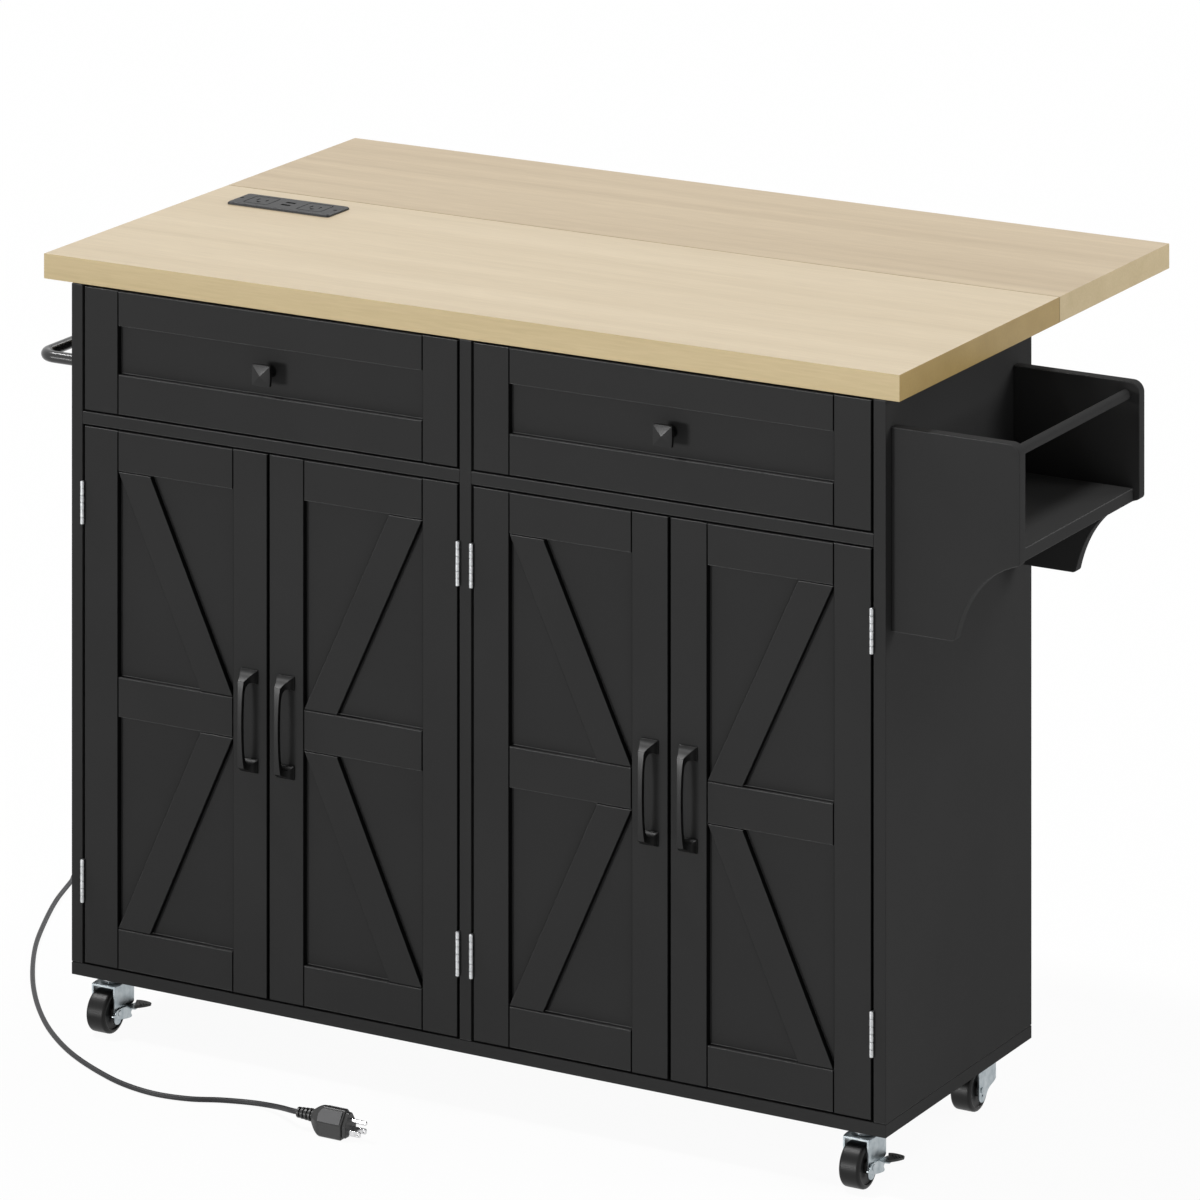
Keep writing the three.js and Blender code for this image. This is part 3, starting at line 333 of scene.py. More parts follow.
def form_of(mesh):
    return Form([v.co for v in mesh.vertices], [tuple(p.vertices) for p in mesh.polygons])


def combine(form, others, operation):
    """Form with others cut away, added or kept in common."""
    scene = bpy.context.scene.collection
    base = bpy.data.objects.new("base", mesh_of("base", form))
    scene.objects.link(base)
    tools = []
    for other in others:
        tool = bpy.data.objects.new("tool", mesh_of("tool", other))
        scene.objects.link(tool)
        tools.append(tool)
        step = base.modifiers.new("step", "BOOLEAN")
        step.operation = operation
        step.solver = "EXACT"
        step.object = tool
    result = form_of(evaluated(base))
    for thing in (base, *tools):
        bpy.data.objects.remove(thing)
    return result


def carve(form, *cutters):
    return combine(form, cutters, "DIFFERENCE")


def common(form, *others):
    return combine(form, others, "INTERSECT")


def fuse(form, *others):
    return combine(form, others, "UNION")


def piece(name, form, material, body, slot=None, replaces=(), bevel=0.0, segments=2, angle=32):
    """A finished piece of the island from a form in cabinet millimetres."""
    mesh = mesh_of(name, form)
    if bevel:
        rough = bpy.data.objects.new("rough", mesh)
        bpy.context.scene.collection.objects.link(rough)
        step = rough.modifiers.new("bevel", "BEVEL")
        step.width = bevel
        step.segments = segments
        step.limit_method = "ANGLE"
        step.angle_limit = math.radians(angle)
        step.use_clamp_overlap = True
        mesh = evaluated(rough)
        bpy.data.objects.remove(rough)
    data = bmesh.new()
    data.from_mesh(mesh)
    for vert in data.verts:
        vert.co = row(vert.co)
    for face in data.faces:
        face.smooth = True
    for edge in data.edges:
        flat = len(edge.link_faces) != 2
        edge.smooth = not flat and edge.calc_face_angle(0.0) < math.radians(angle + 6)
    data.to_mesh(mesh)
    data.free()
    mesh.name = name
    thing = bpy.data.objects.new(name, mesh)
    bpy.context.scene.collection.objects.link(thing)
    mesh.materials.clear()
    mesh.materials.append(material)
    weighted = thing.modifiers.new("weighted", "WEIGHTED_NORMAL")
    weighted.keep_sharp = True
    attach(thing, body)
    if replaces:
        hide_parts(*replaces)
    return thing


# ---- materials ----------------------------------------------------------------------------------
def srgb(red, green, blue):
    """A colour given in 0 to 255 as the shader's linear one."""

    def linear(value):
        value /= 255
        return value / 12.92 if value <= 0.04045 else ((value + 0.055) / 1.055) ** 2.4

    return (linear(red), linear(green), linear(blue), 1)


def grey(level):
    return srgb(level, level, level)


class Shader:
    """A node material with short calls for its parts."""

    def __init__(self, name, roughness, metallic=0.0, specular=0.5):
        self.material = bpy.data.materials.new(name)
        self.material.use_nodes = True
        self.tree = self.material.node_tree
        self.surface = self.tree.nodes["Principled BSDF"]
        self.surface.inputs["Roughness"].default_value = roughness
        self.surface.inputs["Metallic"].default_value = metallic
        self.surface.inputs["Specular IOR Level"].default_value = specular
        self.place = self.add("ShaderNodeTexCoord").outputs["Object"]

    def add(self, kind):
        return self.tree.nodes.new(kind)

    def link(self, source, target):
        """Joins an output to an input, or sets the input to a number or colour."""
        if isinstance(source, (int, float, tuple)):
            target.default_value = source
        else:
            self.tree.links.new(source, target)

    def stretched(self, x, y, z):
        mapping = self.add("ShaderNodeMapping")
        mapping.inputs["Scale"].default_value = (x, y, z)
        self.link(self.place, mapping.inputs["Vector"])
        return mapping.outputs["Vector"]

    def noise(self, scale, detail=3.0, stretch=(1, 1, 1), roughness=0.5, distortion=0.0):
        node = self.add("ShaderNodeTexNoise")
        settings = {"Scale": scale, "Detail": detail, "Roughness": roughness, "Distortion": distortion}
        for name, value in settings.items():
            node.inputs[name].default_value = value
        self.link(self.stretched(*stretch), node.inputs["Vector"])
        return node.outputs["Fac"]

    def ramp(self, source, *stops):
        node = self.add("ShaderNodeValToRGB")
        while len(node.color_ramp.elements) < len(stops):
            node.color_ramp.elements.new(0.5)
        for element, (position, color) in zip(node.color_ramp.elements, stops):
            element.position = position
            element.color = color
        self.link(source, node.inputs["Fac"])
        return node.outputs["Color"]

    def cloudy(self, source, low, high):
        """A colour that drifts between two with a noise."""
        return self.ramp(source, (0.3, low), (0.7, high))

    def math(self, operation, *values):
        node = self.add("ShaderNodeMath")
        node.operation = operation
        for value, socket in zip(values, node.inputs):
            self.link(value, socket)
        return node.outputs["Value"]

    def parts(self, vector):
        """The x, y and z outputs of a vector."""
        node = self.add("ShaderNodeSeparateXYZ")
        self.link(vector, node.inputs["Vector"])
        return node.outputs

    def faces_along(self, axis):
        """1 where the object's own surface faces along an axis, either way, and 0 elsewhere."""
        normal = self.parts(self.add("ShaderNodeTexCoord").outputs["Normal"])
        return self.math("GREATER_THAN", self.math("ABSOLUTE", normal[axis]), 0.6)

    def mix(self, factor, first, second, blend="MIX"):
        node = self.add("ShaderNodeMix")
        node.data_type = "RGBA"
        node.blend_type = blend
        self.link(factor, node.inputs["Factor"])
        colours = [socket for socket in node.inputs if socket.type == "RGBA"]
        for value, socket in zip((first, second), colours):
            self.link(value, socket)
        return next(socket for socket in node.outputs if socket.type == "RGBA")

    def colour(self, source):
        self.link(source, self.surface.inputs["Base Color"])

    def rough(self, source, low, high):
        node = self.add("ShaderNodeMapRange")
        node.inputs["To Min"].default_value = low
        node.inputs["To Max"].default_value = high
        self.link(source, node.inputs["Value"])
        self.link(node.outputs["Result"], self.surface.inputs["Roughness"])

    def bump(self, source, strength, distance=0.0005):
        node = self.add("ShaderNodeBump")
        node.inputs["Strength"].default_value = strength
        node.inputs["Distance"].default_value = distance
        self.link(source, node.inputs["Height"])
        self.link(node.outputs["Normal"], self.surface.inputs["Normal"])
        return node


EASED_EDGE = 0.0013  # metres
# Grey of the painted highlight laid on the boards' upper edges.
PAINTED_EDGE_HIGHLIGHT = 150


def painted_board(name, low, high, roughness=0.75, ends=None):
    """Matt paint with a painted highlight on its upper edges, where the eased edge turns up. The faces along
    x may have their own colour: a darker one there is painted shade.
    """
    shader = Shader(name, roughness, specular=0.03)
    cloud = shader.noise(6, 4)
    grain = shader.noise(420, 2)
    shader.rough(grain, roughness - 0.05, roughness + 0.07)
    edges = shader.add("ShaderNodeBevel")
    edges.samples = 4
    edges.inputs["Radius"].default_value = EASED_EDGE
    shader.link(edges.outputs["Normal"], shader.bump(grain, 0.05, 0.0003).inputs["Normal"])
    eased = shader.parts(edges.outputs["Normal"])
    flat = shader.parts(shader.add("ShaderNodeNewGeometry").outputs["True Normal"])
    lift = shader.math("SUBTRACT", eased["Z"], flat["Z"])
    # Painted highlight: where the eased edge turns up, the colour goes towards a light grey.
    painted_highlight = shader.ramp(lift, (0.12, grey(0)), (0.5, grey(255)))
    paint = shader.cloudy(cloud, low, high)
    # ends darkens the faces along x: painted shade on the sides of the fronts' recesses, gaps and edges.
    if ends:
        paint = shader.mix(shader.faces_along("X"), paint, ends)
    shader.colour(shader.mix(painted_highlight, paint, grey(PAINTED_EDGE_HIGHLIGHT)))
    return shader, paint


def moulded(name, low, high, roughness, specular=0.5, grain=700, depth=0.04):
    shader = Shader(name, roughness, specular=specular)
    shader.colour(shader.cloudy(shader.noise(30, 2), low, high))
    fine = shader.noise(grain, 2)
    shader.rough(fine, roughness - 0.06, roughness + 0.08)
    shader.bump(fine, depth, 0.0003)
    return shader.material


def metal(name, low, high, roughness, grain=300):
    shader = Shader(name, roughness, metallic=1.0)
    cloud = shader.noise(grain)
    shader.colour(shader.cloudy(cloud, low, high))
    shader.rough(cloud, roughness - 0.06, roughness + 0.1)
    shader.bump(cloud, 0.03, 0.0002)
    return shader.material


BLACK = (grey(48), grey(50))
ZINC = (srgb(150, 160, 165), srgb(185, 192, 195))
STEEL = (srgb(170, 172, 174), srgb(200, 201, 202))

black_board = painted_board("black_board", *BLACK)[0].material
# The fronts' faces along x are painted near black: painted shade on the recess walls, gaps and edges of the
# doors, drawer fronts and rails.
front_board_painted_side_shade = painted_board("black_front_board", *BLACK, ends=grey(14))[0].material
drawer_board = painted_board("drawer_board", srgb(44, 43, 42), srgb(50, 49, 48))[0].material
black_metal = moulded("black_metal", grey(10), grey(14), 0.34, 0.3, 900, 0.03)
wheel_black = moulded("wheel_black", grey(9), grey(12), 0.4, 0.24)
outlet_grey = moulded("outlet_grey", srgb(24, 24, 25), srgb(29, 29, 30), 0.45, 0.3)
socket_black = moulded("socket_black", grey(12), grey(16), 0.6)
cord_black = moulded("cord_black", srgb(30, 30, 32), srgb(36, 36, 38), 0.5, 0.35)
plug_black = moulded("plug_black", grey(18), grey(23), 0.4)
plug_grey = moulded("plug_grey", srgb(84, 84, 85), srgb(92, 92, 93), 0.42)
bar_black = moulded("bar_black", grey(16), grey(20), 0.24, 0.6, 900, 0.02)
hinge_steel = metal("hinge_steel", *STEEL, 0.35)
door_hinge_steel = metal("door_hinge_steel", srgb(122, 123, 124), srgb(160, 161, 162), 0.5)
zinc = metal("zinc", *ZINC, 0.34, grain=120)
chrome = metal("chrome", srgb(200, 200, 202), srgb(225, 225, 226), 0.14)


def maple_shader(name, tops, fronts, ends):
    """Light maple with a fine straight grain along x. Tops, fronts and ends each have their own colours."""
    shader = Shader(name, 0.42, specular=0.35)
    fibres = shader.noise(60, 5, (0.35, 6, 6), 0.6)
    streaks = shader.noise(9, 4, (0.12, 3.2, 3.2), 0.55, 0.3)
    patch = shader.noise(2.2, 3, (0.5, 2, 2))
    top, front, end = [shader.cloudy(streaks, *pair) for pair in (tops, fronts, ends)]
    sides = shader.mix(shader.faces_along("X"), front, end)
    body = shader.mix(shader.faces_along("Z"), sides, top)
    fine = shader.ramp(fibres, (0.35, (0.94, 0.93, 0.915, 1)), (0.65, (1.02, 1.02, 1.02, 1)))
    shade = shader.cloudy(patch, (0.97, 0.965, 0.955, 1), grey(255))
    colour = shader.mix(1.0, shader.mix(1.0, body, fine, "MULTIPLY"), shade, "MULTIPLY")
    shader.colour(colour)
    shader.rough(fibres, 0.38, 0.5)
    shader.bump(fibres, 0.04, 0.0004)
    return shader, colour


def with_metal_below(shader, base, height, metal_colours, roughness, metal_roughness):
    """Metal where the object's own z lies under a height, and the given colour elsewhere."""
    below = shader.math("LESS_THAN", shader.parts(shader.place)["Z"], height)
    sheet = shader.cloudy(shader.noise(160), *metal_colours)
    shader.colour(shader.mix(below, base, sheet))
    shader.link(below, shader.surface.inputs["Metallic"])
    shader.rough(below, roughness, metal_roughness)


# Metres, 0.1 mm under the boards' undersides: what the solids hold below them is metal.
LEAF_UNDERSIDE, CABINET_UNDERSIDE = 0.8804, 0.0644
FRONT_BAND = (srgb(184, 165, 123), srgb(193, 174, 133))
maple_top = maple_shader(
    "maple_top",
    (srgb(206, 189, 160), srgb(216, 200, 172)),
    FRONT_BAND,
    (srgb(152, 128, 76), srgb(160, 136, 84)),
)[0].material

leaf_shader, leaf_colour = maple_shader(
    "maple_leaf",
    (srgb(188, 169, 140), srgb(203, 185, 156)),
    FRONT_BAND,
    (srgb(182, 164, 126), srgb(190, 172, 135)),
)
with_metal_below(leaf_shader, leaf_colour, LEAF_UNDERSIDE, STEEL, 0.45, 0.35)

bottom_shader, bottom_colour = painted_board("black_floor_board", *BLACK)
with_metal_below(bottom_shader, bottom_colour, CABINET_UNDERSIDE, ZINC, 0.75, 0.4)

# The first pattern that a solid's whole name fits gives its finish.
CAD_FINISH = (
    ("worktop", maple_top),
    ("drop_leaf", leaf_shader.material),
    ("bottom_panel", bottom_shader.material),
    (r"(leaf_hinge|brace_mount|leaf_brace)_.*", hinge_steel),
    (r"door_\d_hinge_.*", door_hinge_steel),
    (r"door_\d|(drawer_front|front_rail)_.*", front_board_painted_side_shade),
    ("drawer_box_.*", drawer_board),
    ("drawer_runner_.*|.*_fork", zinc),
    (".*_wheel", wheel_black),
    (r"(door_pull|drawer_knob)_.*|towel_bar|.*_brake", black_metal),
    (".*", black_board),
)
for name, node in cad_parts.items():
    finish = next(material for pattern, material in CAD_FINISH if re.fullmatch(pattern, name))
    node.data.materials.clear()
    node.data.materials.append(finish)


# ---- mains lead, gland and plug -----------------------------------------------------------------
curve = bpy.data.curves.new("mains_lead", "CURVE")
curve.dimensions = "3D"
curve.bevel_depth = CORD_RADIUS * MM
curve.bevel_resolution = 4
curve.use_fill_caps = True
spline = curve.splines.new("POLY")
spline.points.add(len(cord_line) - 1)
for point, place in zip(spline.points, cord_line):
    point.co = (*row(place), 1)
spline.use_smooth = True
curve.materials.append(cord_black)
mains_lead = bpy.data.objects.new("mains_lead", curve)
bpy.context.scene.collection.objects.link(mains_lead)
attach(mains_lead, "cabinet")
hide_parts("power_cord")

BACK_FACE = 365  # y of the back panel's outer face
OUTLET = (-453.5, 342.5, 910.8)


def make_gland():
    """Ribbed strain relief with a flange on the back panel, and the fixed lead that falls to it inside."""
    x, _, z = CORD_START
    profile = [(0, -12), (6, -12), (6, 0.3), (10, 0.3), (10, 2.4), (9.4, 3), (6.6, 3.3)]
    pitch = 4
    for index in range(6):
        start = 3.5 + index * pitch
        radius = 6.3 - 0.28 * index
        profile += [
            (radius, start + 0.25 * pitch),
            (radius, start + 0.75 * pitch),
            (radius - 1, start + 0.85 * pitch),
            (radius - 1.1, start + pitch),
        ]
    profile += [(4.3, 29.6), (4.0, 30), (0, 30)]
    form = lathe(profile, 28).turn("X", -90).at(x, BACK_FACE, z)
    bend = 24
    line = []
    for step in range(13):
        share = step / 12
        eased = share * share * (3 - 2 * share)
        line.append((OUTLET[0] - 16.5 * eased, 339 - 10 * eased, 865.2 - 381.2 * share))
    for step in range(1, 9):
        angle = math.pi / 2 * step / 8
        line.append((x, 353 - bend * math.cos(angle), z + bend - bend * math.sin(angle)))
    form = form + sweep([*line, (x, 356, z)], CORD_RADIUS, 16)
    piece("strain_relief", form, cord_black, "cabinet", "cord_jacket", ["cord_gland"], angle=40)


make_gland()

PLUG = (-137.5, -140, 0.3)


def plug_section(x, half, side, ridge, height, inset):
    """One ring across the plug: flat underside, upright sides, a slope up either side and a flat ridge."""
    outline = [
        (-half + inset + 1.5, inset),
        (half - inset - 1.5, inset),
        (half - inset, inset + 1.5),
        (half - inset, side),
        (half - inset - 0.8, side + 1.2),
        (ridge / 2 + 1.4, height - inset - 1),
        (ridge / 2 - 0.6, height - inset),
        (-ridge / 2 + 0.6, height - inset),
        (-ridge / 2 - 1.4, height - inset - 1),
        (-half + inset + 0.8, side + 1.2),
        (-half + inset, side),
        (-half + inset, inset + 1.5),
    ]
    return [(x, y, z) for y, z in outline]


def make_plug():
    """Moulded plug on its flat side: ribbed relief, rounded shoulder, body, grey panels on its slopes, blades
    and earth pin.
    """
    axis, neck_radius = 17, 6.6
    half, side, crest, top = 14.5, 16, 5, 31
    relief = []
    for index in range(4):
        start = index * 5.25
        radius = 6 + 0.4 * index
        relief += [
            (radius - 0.5, start),
            (radius, start + 0.5),
            (radius, start + 2.9),
            (radius - 0.5, start + 3.3),
            (radius - 1.6, start + 3.6),
            (radius - 1.6, start + 5.0),
        ]
    profile = [(0, 0), *relief, (7, 21), (7.2, 25), (0, 25)]
    neck = lathe(profile, 28).turn("Y", 90).at(z=axis)
    rings = []
    for share in [0, 0.12, 0.28, 0.48, 0.7, 0.88, 1.0]:
        swell = math.sin(share * math.pi / 2)
        width = neck_radius + (half - neck_radius) * swell
        low = (axis - neck_radius) * (1 - swell)
        high = axis + neck_radius + (top - axis - neck_radius) * swell
        shoulder = axis + (side - axis) * swell + (1 - swell) * 1.5
        ridge = 4.0 + (crest - 4.0) * swell
        ring = plug_section(21 + 16 * share, width, shoulder - low, ridge, high - low, 0)
        rings.append([(x, y, z + low) for x, y, z in ring])
    for x, inset in ((64.2, 0), (65, 0.6), (65.4, 2.3), (69.4, 2.5), (70, 3.2)):
        rings.append(plug_section(x, half, side, crest, top, inset))
    body = fuse(loft(rings), neck).at(*PLUG)
    rides = ("cabinet", "plug_plastic")
    shell = piece("plug_body", body, plug_black, *rides, ["power_plug"], bevel=0.25, angle=30)
    panels = []
    slope = math.degrees(math.atan2(top - side, half - crest))
    outline = [(62.5, 1.4), (62.5, 16.2), (38, 16.2), *quadratic((38, 16.2), (30.5, 13), (33.5, 1.4), 8)]
    for way in (1, -1):
        panel = prism([(x, way * y) for x, y in outline], "z", -1.0, 0.3)
        panels.append(panel.turn("X", way * slope).at(0, way * -half, side))
    grey_panels = piece("plug_panels", total(panels).at(*PLUG), plug_grey, *rides, bevel=0.2, angle=30)
    blades, z = [], 8.0
    for y in (-6.35, 6.35):
        outline = [(68, -3.15), (85.6, -3.15), (87, -1.9), (87, 1.9), (85.6, 3.15), (68, 3.15)]
        outline = [(x, z + rise) for x, rise in outline]
        blade = prism(outline, "y", y - 0.75, y + 0.75)
        blades.append(carve(blade, rod("y", 1.6, y - 2, y + 2).at(83.6, 0, z)))
    pin = [(0, 69), (2.4, 69), (2.4, 89.6), (2.1, 90.6), (1.2, 91.4), (0, 91.4)]
    earth = lathe(pin, 20).turn("Y", 90).at(z=z + 11.9)
    metal_parts = total([*blades, earth]).at(*PLUG)
    pins = piece("plug_pins", metal_parts, chrome, "cabinet", "hinge_steel", bevel=0.15, angle=40)
    return shell, grey_panels, pins


plug_pieces = make_plug()

# ---- doors and drawers --------------------------------------------------------------------------
CABINET_WIDTH = 1080
WALL = 15
GAP = 2.3  # over and under the doors and drawers
SIDE_GAP = 3  # beside and between the doors
UNDERSIDE, WORKTOP_UNDERSIDE = 64.5, 880.5
BAY = (CABINET_WIDTH - 3 * WALL) / 2
BAY_MIDDLES = (-(WALL + BAY) / 2, (WALL + BAY) / 2)
DOOR_WIDTH = (BAY - 3 * SIDE_GAP) / 2
DOOR_BOTTOM = UNDERSIDE + WALL + GAP
DOOR_HEIGHT = 632
DOOR_TOP = DOOR_BOTTOM + DOOR_HEIGHT
PULL_Z = DOOR_BOTTOM + DOOR_HEIGHT / 2 + 3.5
PULL_INSET = 23.5  # from the door's free edge
HINGE_HEIGHTS = {"upper": DOOR_TOP - 90, "lower": DOOR_BOTTOM + 96}
BARREL_Y = -2.3


def pull_form():
    """A slim arched pull: square foot plates, and a bowed grip that turns in and flares into them."""
    # z and y of the outer side, z and y of the inner side, half width
    arch = [
        (0, -22.9, 0, -17.2, 2.6),
        (15, -22.65, 14, -17.1, 2.7),
        (30, -22.0, 28, -16.8, 3.0),
        (42, -21.0, 37, -16.3, 3.5),
        (50.3, -19.9, 42.5, -15.3, 4.1),
    ]
    leg = [
        (50.3, -19.9, 42.5, -15.3, 4.1),
        (53.2, -14.9, 46.0, -12.7, 5.7),
        (55.6, -10.3, 47.0, -9.3, 7.6),
        (57.7, -6.3, 46.2, -5.9, 9.5),
        (59.6, -2.0, 44.2, -2.0, 11.3),
    ]
    rings = []
    for part in (arch, leg):
        outer = smooth_line([(s[0], s[1], s[4]) for s in part], 5)
        inner = smooth_line([(s[2], s[3], 0) for s in part], 5)
        for near, far in list(zip(outer, inner))[1 if rings else 0 :]:
            w = near.z
            rings.append([(-w, near.y, near.x), (w, near.y, near.x), (w, far.y, far.x), (-w, far.y, far.x)])
    below = [[(x, y, -z) for x, y, z in ring] for ring in reversed(rings[1:])]
    grip = loft(below + rings)
    feet = [box((-11.4, 11.4), (-2.2, 0), (low, high)) for low, high in ((43.8, 59.8), (-59.8, -43.8))]
    return total([grip, *feet])


def knob_form():
    """A square knob with bowed sides: four facets to a low point, a rim, and a round waisted stem."""
    half, steps = 11.9, 8
    rings = []
    for share, y in (
        (0.0, -26.0),
        (0.3, -25.15),
        (0.6, -24.25),
        (0.85, -23.4),
        (1.0, -22.8),
        (1.0, -18.6),
        (0.965, -18.2),
    ):
        ring = []
        for side in range(4):
            for k in range(steps):
                t = -1 + 2 * k / steps
                bow = 1 + 0.05 * (1 - t * t)
                u, v = half * share * bow, half * share * t
                for _ in range(side):
                    u, v = -v, u
                ring.append((u, y, v))
        rings.append(ring)
    head = loft(rings)
    stem = lathe([(7.0, 0), (6.5, 1.6), (5.9, 5), (5.8, 9), (6.2, 13), (7.4, 16.6), (9.2, 18.3)], 28)
    return head + stem.turn("X", 90)


def hinge_forms(side):
    """The half with the pin and the half on the door, about the pin. side is 1 for a frame on the right."""
    half, knuckles, radius, play = 25.4, 6, 2.6, 0.12
    pitch = 2 * half / knuckles

    def span(index):
        return -half + index * pitch + play, -half + (index + 1) * pitch - play

    def knuckle(index):
        low, high = span(index)
        profile = [
            (1.35, low),
            (radius - 0.35, low),
            (radius, low + 0.35),
            (radius, high - 0.35),
            (radius - 0.35, high),
            (1.35, high),
        ]
        return lathe(profile, 24, close=True)

    def leaf(direction, owned):
        near, far = sorted((direction * 0.1, direction * 1.2))
        plate = [box((near, far), (2.0, 19.3), (-half, half))]
        for index in owned:
            plate.append(box((near, far), (1.2, 2.4), span(index)))
        for z in (-17, 0, 17):
            screw = lathe([(2.9, 0), (2.6, 0.25), (1.2, 0.4), (0, 0.42)], 16).turn("Y", -90 * direction)
            plate.append(screw.at(near if direction > 0 else far, 11.5, z))
        return total(plate)

    pin = lathe([(0, -half - 0.3), (1.25, -half - 0.3), (1.25, half + 0.3), (0, half + 0.3)], 16)
    fixed = total([knuckle(i) for i in (0, 2, 4)] + [leaf(side, (0, 2, 4)), pin])
    moving = total([knuckle(i) for i in (1, 3, 5)] + [leaf(-side, (1, 3, 5))])
    return fixed, moving


DOORS = []  # number, x of its middle, side that its hinges are on
for bay, middle in enumerate(BAY_MIDDLES):
    for side in (-1, 1):
        DOORS.append((bay * 2 + (side + 3) // 2, middle + side * (DOOR_WIDTH + SIDE_GAP) / 2, side))

pull = pull_form()
for number, x, side in DOORS:
    door, replaced = f"door_{number}", [f"door_pull_{number}"]
    grip = pull.at(x - side * (DOOR_WIDTH / 2 - PULL_INSET), -0.3, PULL_Z)
    rounding = {"bevel": 0.4, "segments": 3, "angle": 24}
    piece(f"pull_{number}", grip, black_metal, door, "black_metal", replaced, **rounding)
    fixed, moving = hinge_forms(side)
    for place, z in HINGE_HEIGHTS.items():
        at = (x + side * (DOOR_WIDTH + SIDE_GAP) / 2, BARREL_Y, z)
        name, replaced = f"hinge_{number}_{place}", [f"{door}_hinge_{place}"]
        piece(f"{name}_fixed", fixed.at(*at), hinge_steel, "cabinet", "hinge_steel", replaced)
        piece(f"{name}_moving", moving.at(*at), hinge_steel, door, "hinge_steel")

DRAWER_BOTTOM = DOOR_TOP + GAP + WALL + GAP
FRAME_LOW, FRAME_HIGH = 47, 41  # heights of the bars under and over a drawer front's recess
KNOB_Z = DRAWER_BOTTOM + (FRAME_LOW + (WORKTOP_UNDERSIDE - GAP - DRAWER_BOTTOM) - FRAME_HIGH) / 2
for name, middle in zip(("left", "right"), BAY_MIDDLES):
    knob, drawer, replaced = knob_form().at(middle, 6.7, KNOB_Z), f"drawer_{name}", [f"drawer_knob_{name}"]
    piece(f"knob_{name}", knob, black_metal, drawer, "black_metal", replaced, bevel=0.22, angle=12)

# ---- spice rack and towel bar -------------------------------------------------------------------
RACK = (540.3, 0, 622)
RACK_NEAR, RACK_LENGTH, RACK_BOARD = 12, 320, 14


def rack_outline():
    """An end board from the side, as distance from the cabinet and height over the rack's foot."""
    out, foot, corner, top = 158.7, 79.5, 13, 226.5
    return [
        (0, 0),
        *arc((foot - 5, 5), 5, -90, 0, 5),
        *quadratic((foot, 5), (foot + 16.4, 72.3), (out - 5, 92.5), 20),
        *quadratic((out - 5, 92.5), (out, 93.5), (out, 98), 5),
        *arc((out - corner, top - corner), corner, 0, 90, 10),
        (0, top),
    ]


for name, y in (("front", RACK_NEAR), ("rear", RACK_NEAR + RACK_LENGTH - RACK_BOARD)):
    end, replaced = prism(rack_outline(), "y", y, y + RACK_BOARD).at(*RACK), [f"spice_rack_{name}_end"]
    rounding = {"bevel": 0.9, "segments": 3, "angle": 40}
    piece(f"rack_{name}_end", end, black_board, "cabinet", "black_board", replaced, **rounding)
RAIL_RADIUS, RAIL_OUT, RAIL_UP = 6, 142, 211.5
rack_inside = (RACK_NEAR + RACK_BOARD + 0.3, RACK_NEAR + RACK_LENGTH - RACK_BOARD - 0.3)
rail = rod("y", RAIL_RADIUS, *rack_inside, sides=32).at(RACK[0] + RAIL_OUT, 0, RACK[2] + RAIL_UP)
piece("rack_rail", rail, black_board, "cabinet", "black_board", ["spice_rack_rail"])

TOWEL_X, TOWEL_Z = -540.3, 777.5
TOWEL_ENDS = (40, 325)


def towel_line():
    """Middle line of the bent bar, from one flange to the other."""
    (near, far), reach, bend = TOWEL_ENDS, 72, 21
    line = [(TOWEL_X - 0.1, near, TOWEL_Z), (TOWEL_X - 20, near, TOWEL_Z)]
    corner = TOWEL_X - reach + bend
    for middle, start in ((near + bend, 270), (far - bend, 180)):
        for u, v in arc((corner, middle), bend, start, start - 90, 12):
            line.append((u, v, TOWEL_Z))
    return line + [(TOWEL_X - 20, far, TOWEL_Z), (TOWEL_X - 0.1, far, TOWEL_Z)]


flange = lathe([(0, 0), (15, 0), (15, 1.6), (13.8, 2.7), (9.5, 3.1), (8.2, 4.4), (7.2, 5), (0, 5)], 36)
flange = flange.turn("Y", -90)
towel = [sweep(towel_line(), 7, 24)]
towel += [flange.at(TOWEL_X, y, TOWEL_Z) for y in TOWEL_ENDS]
piece("towel_rail", total(towel), bar_black, "cabinet", "black_metal", ["towel_bar"], angle=36)

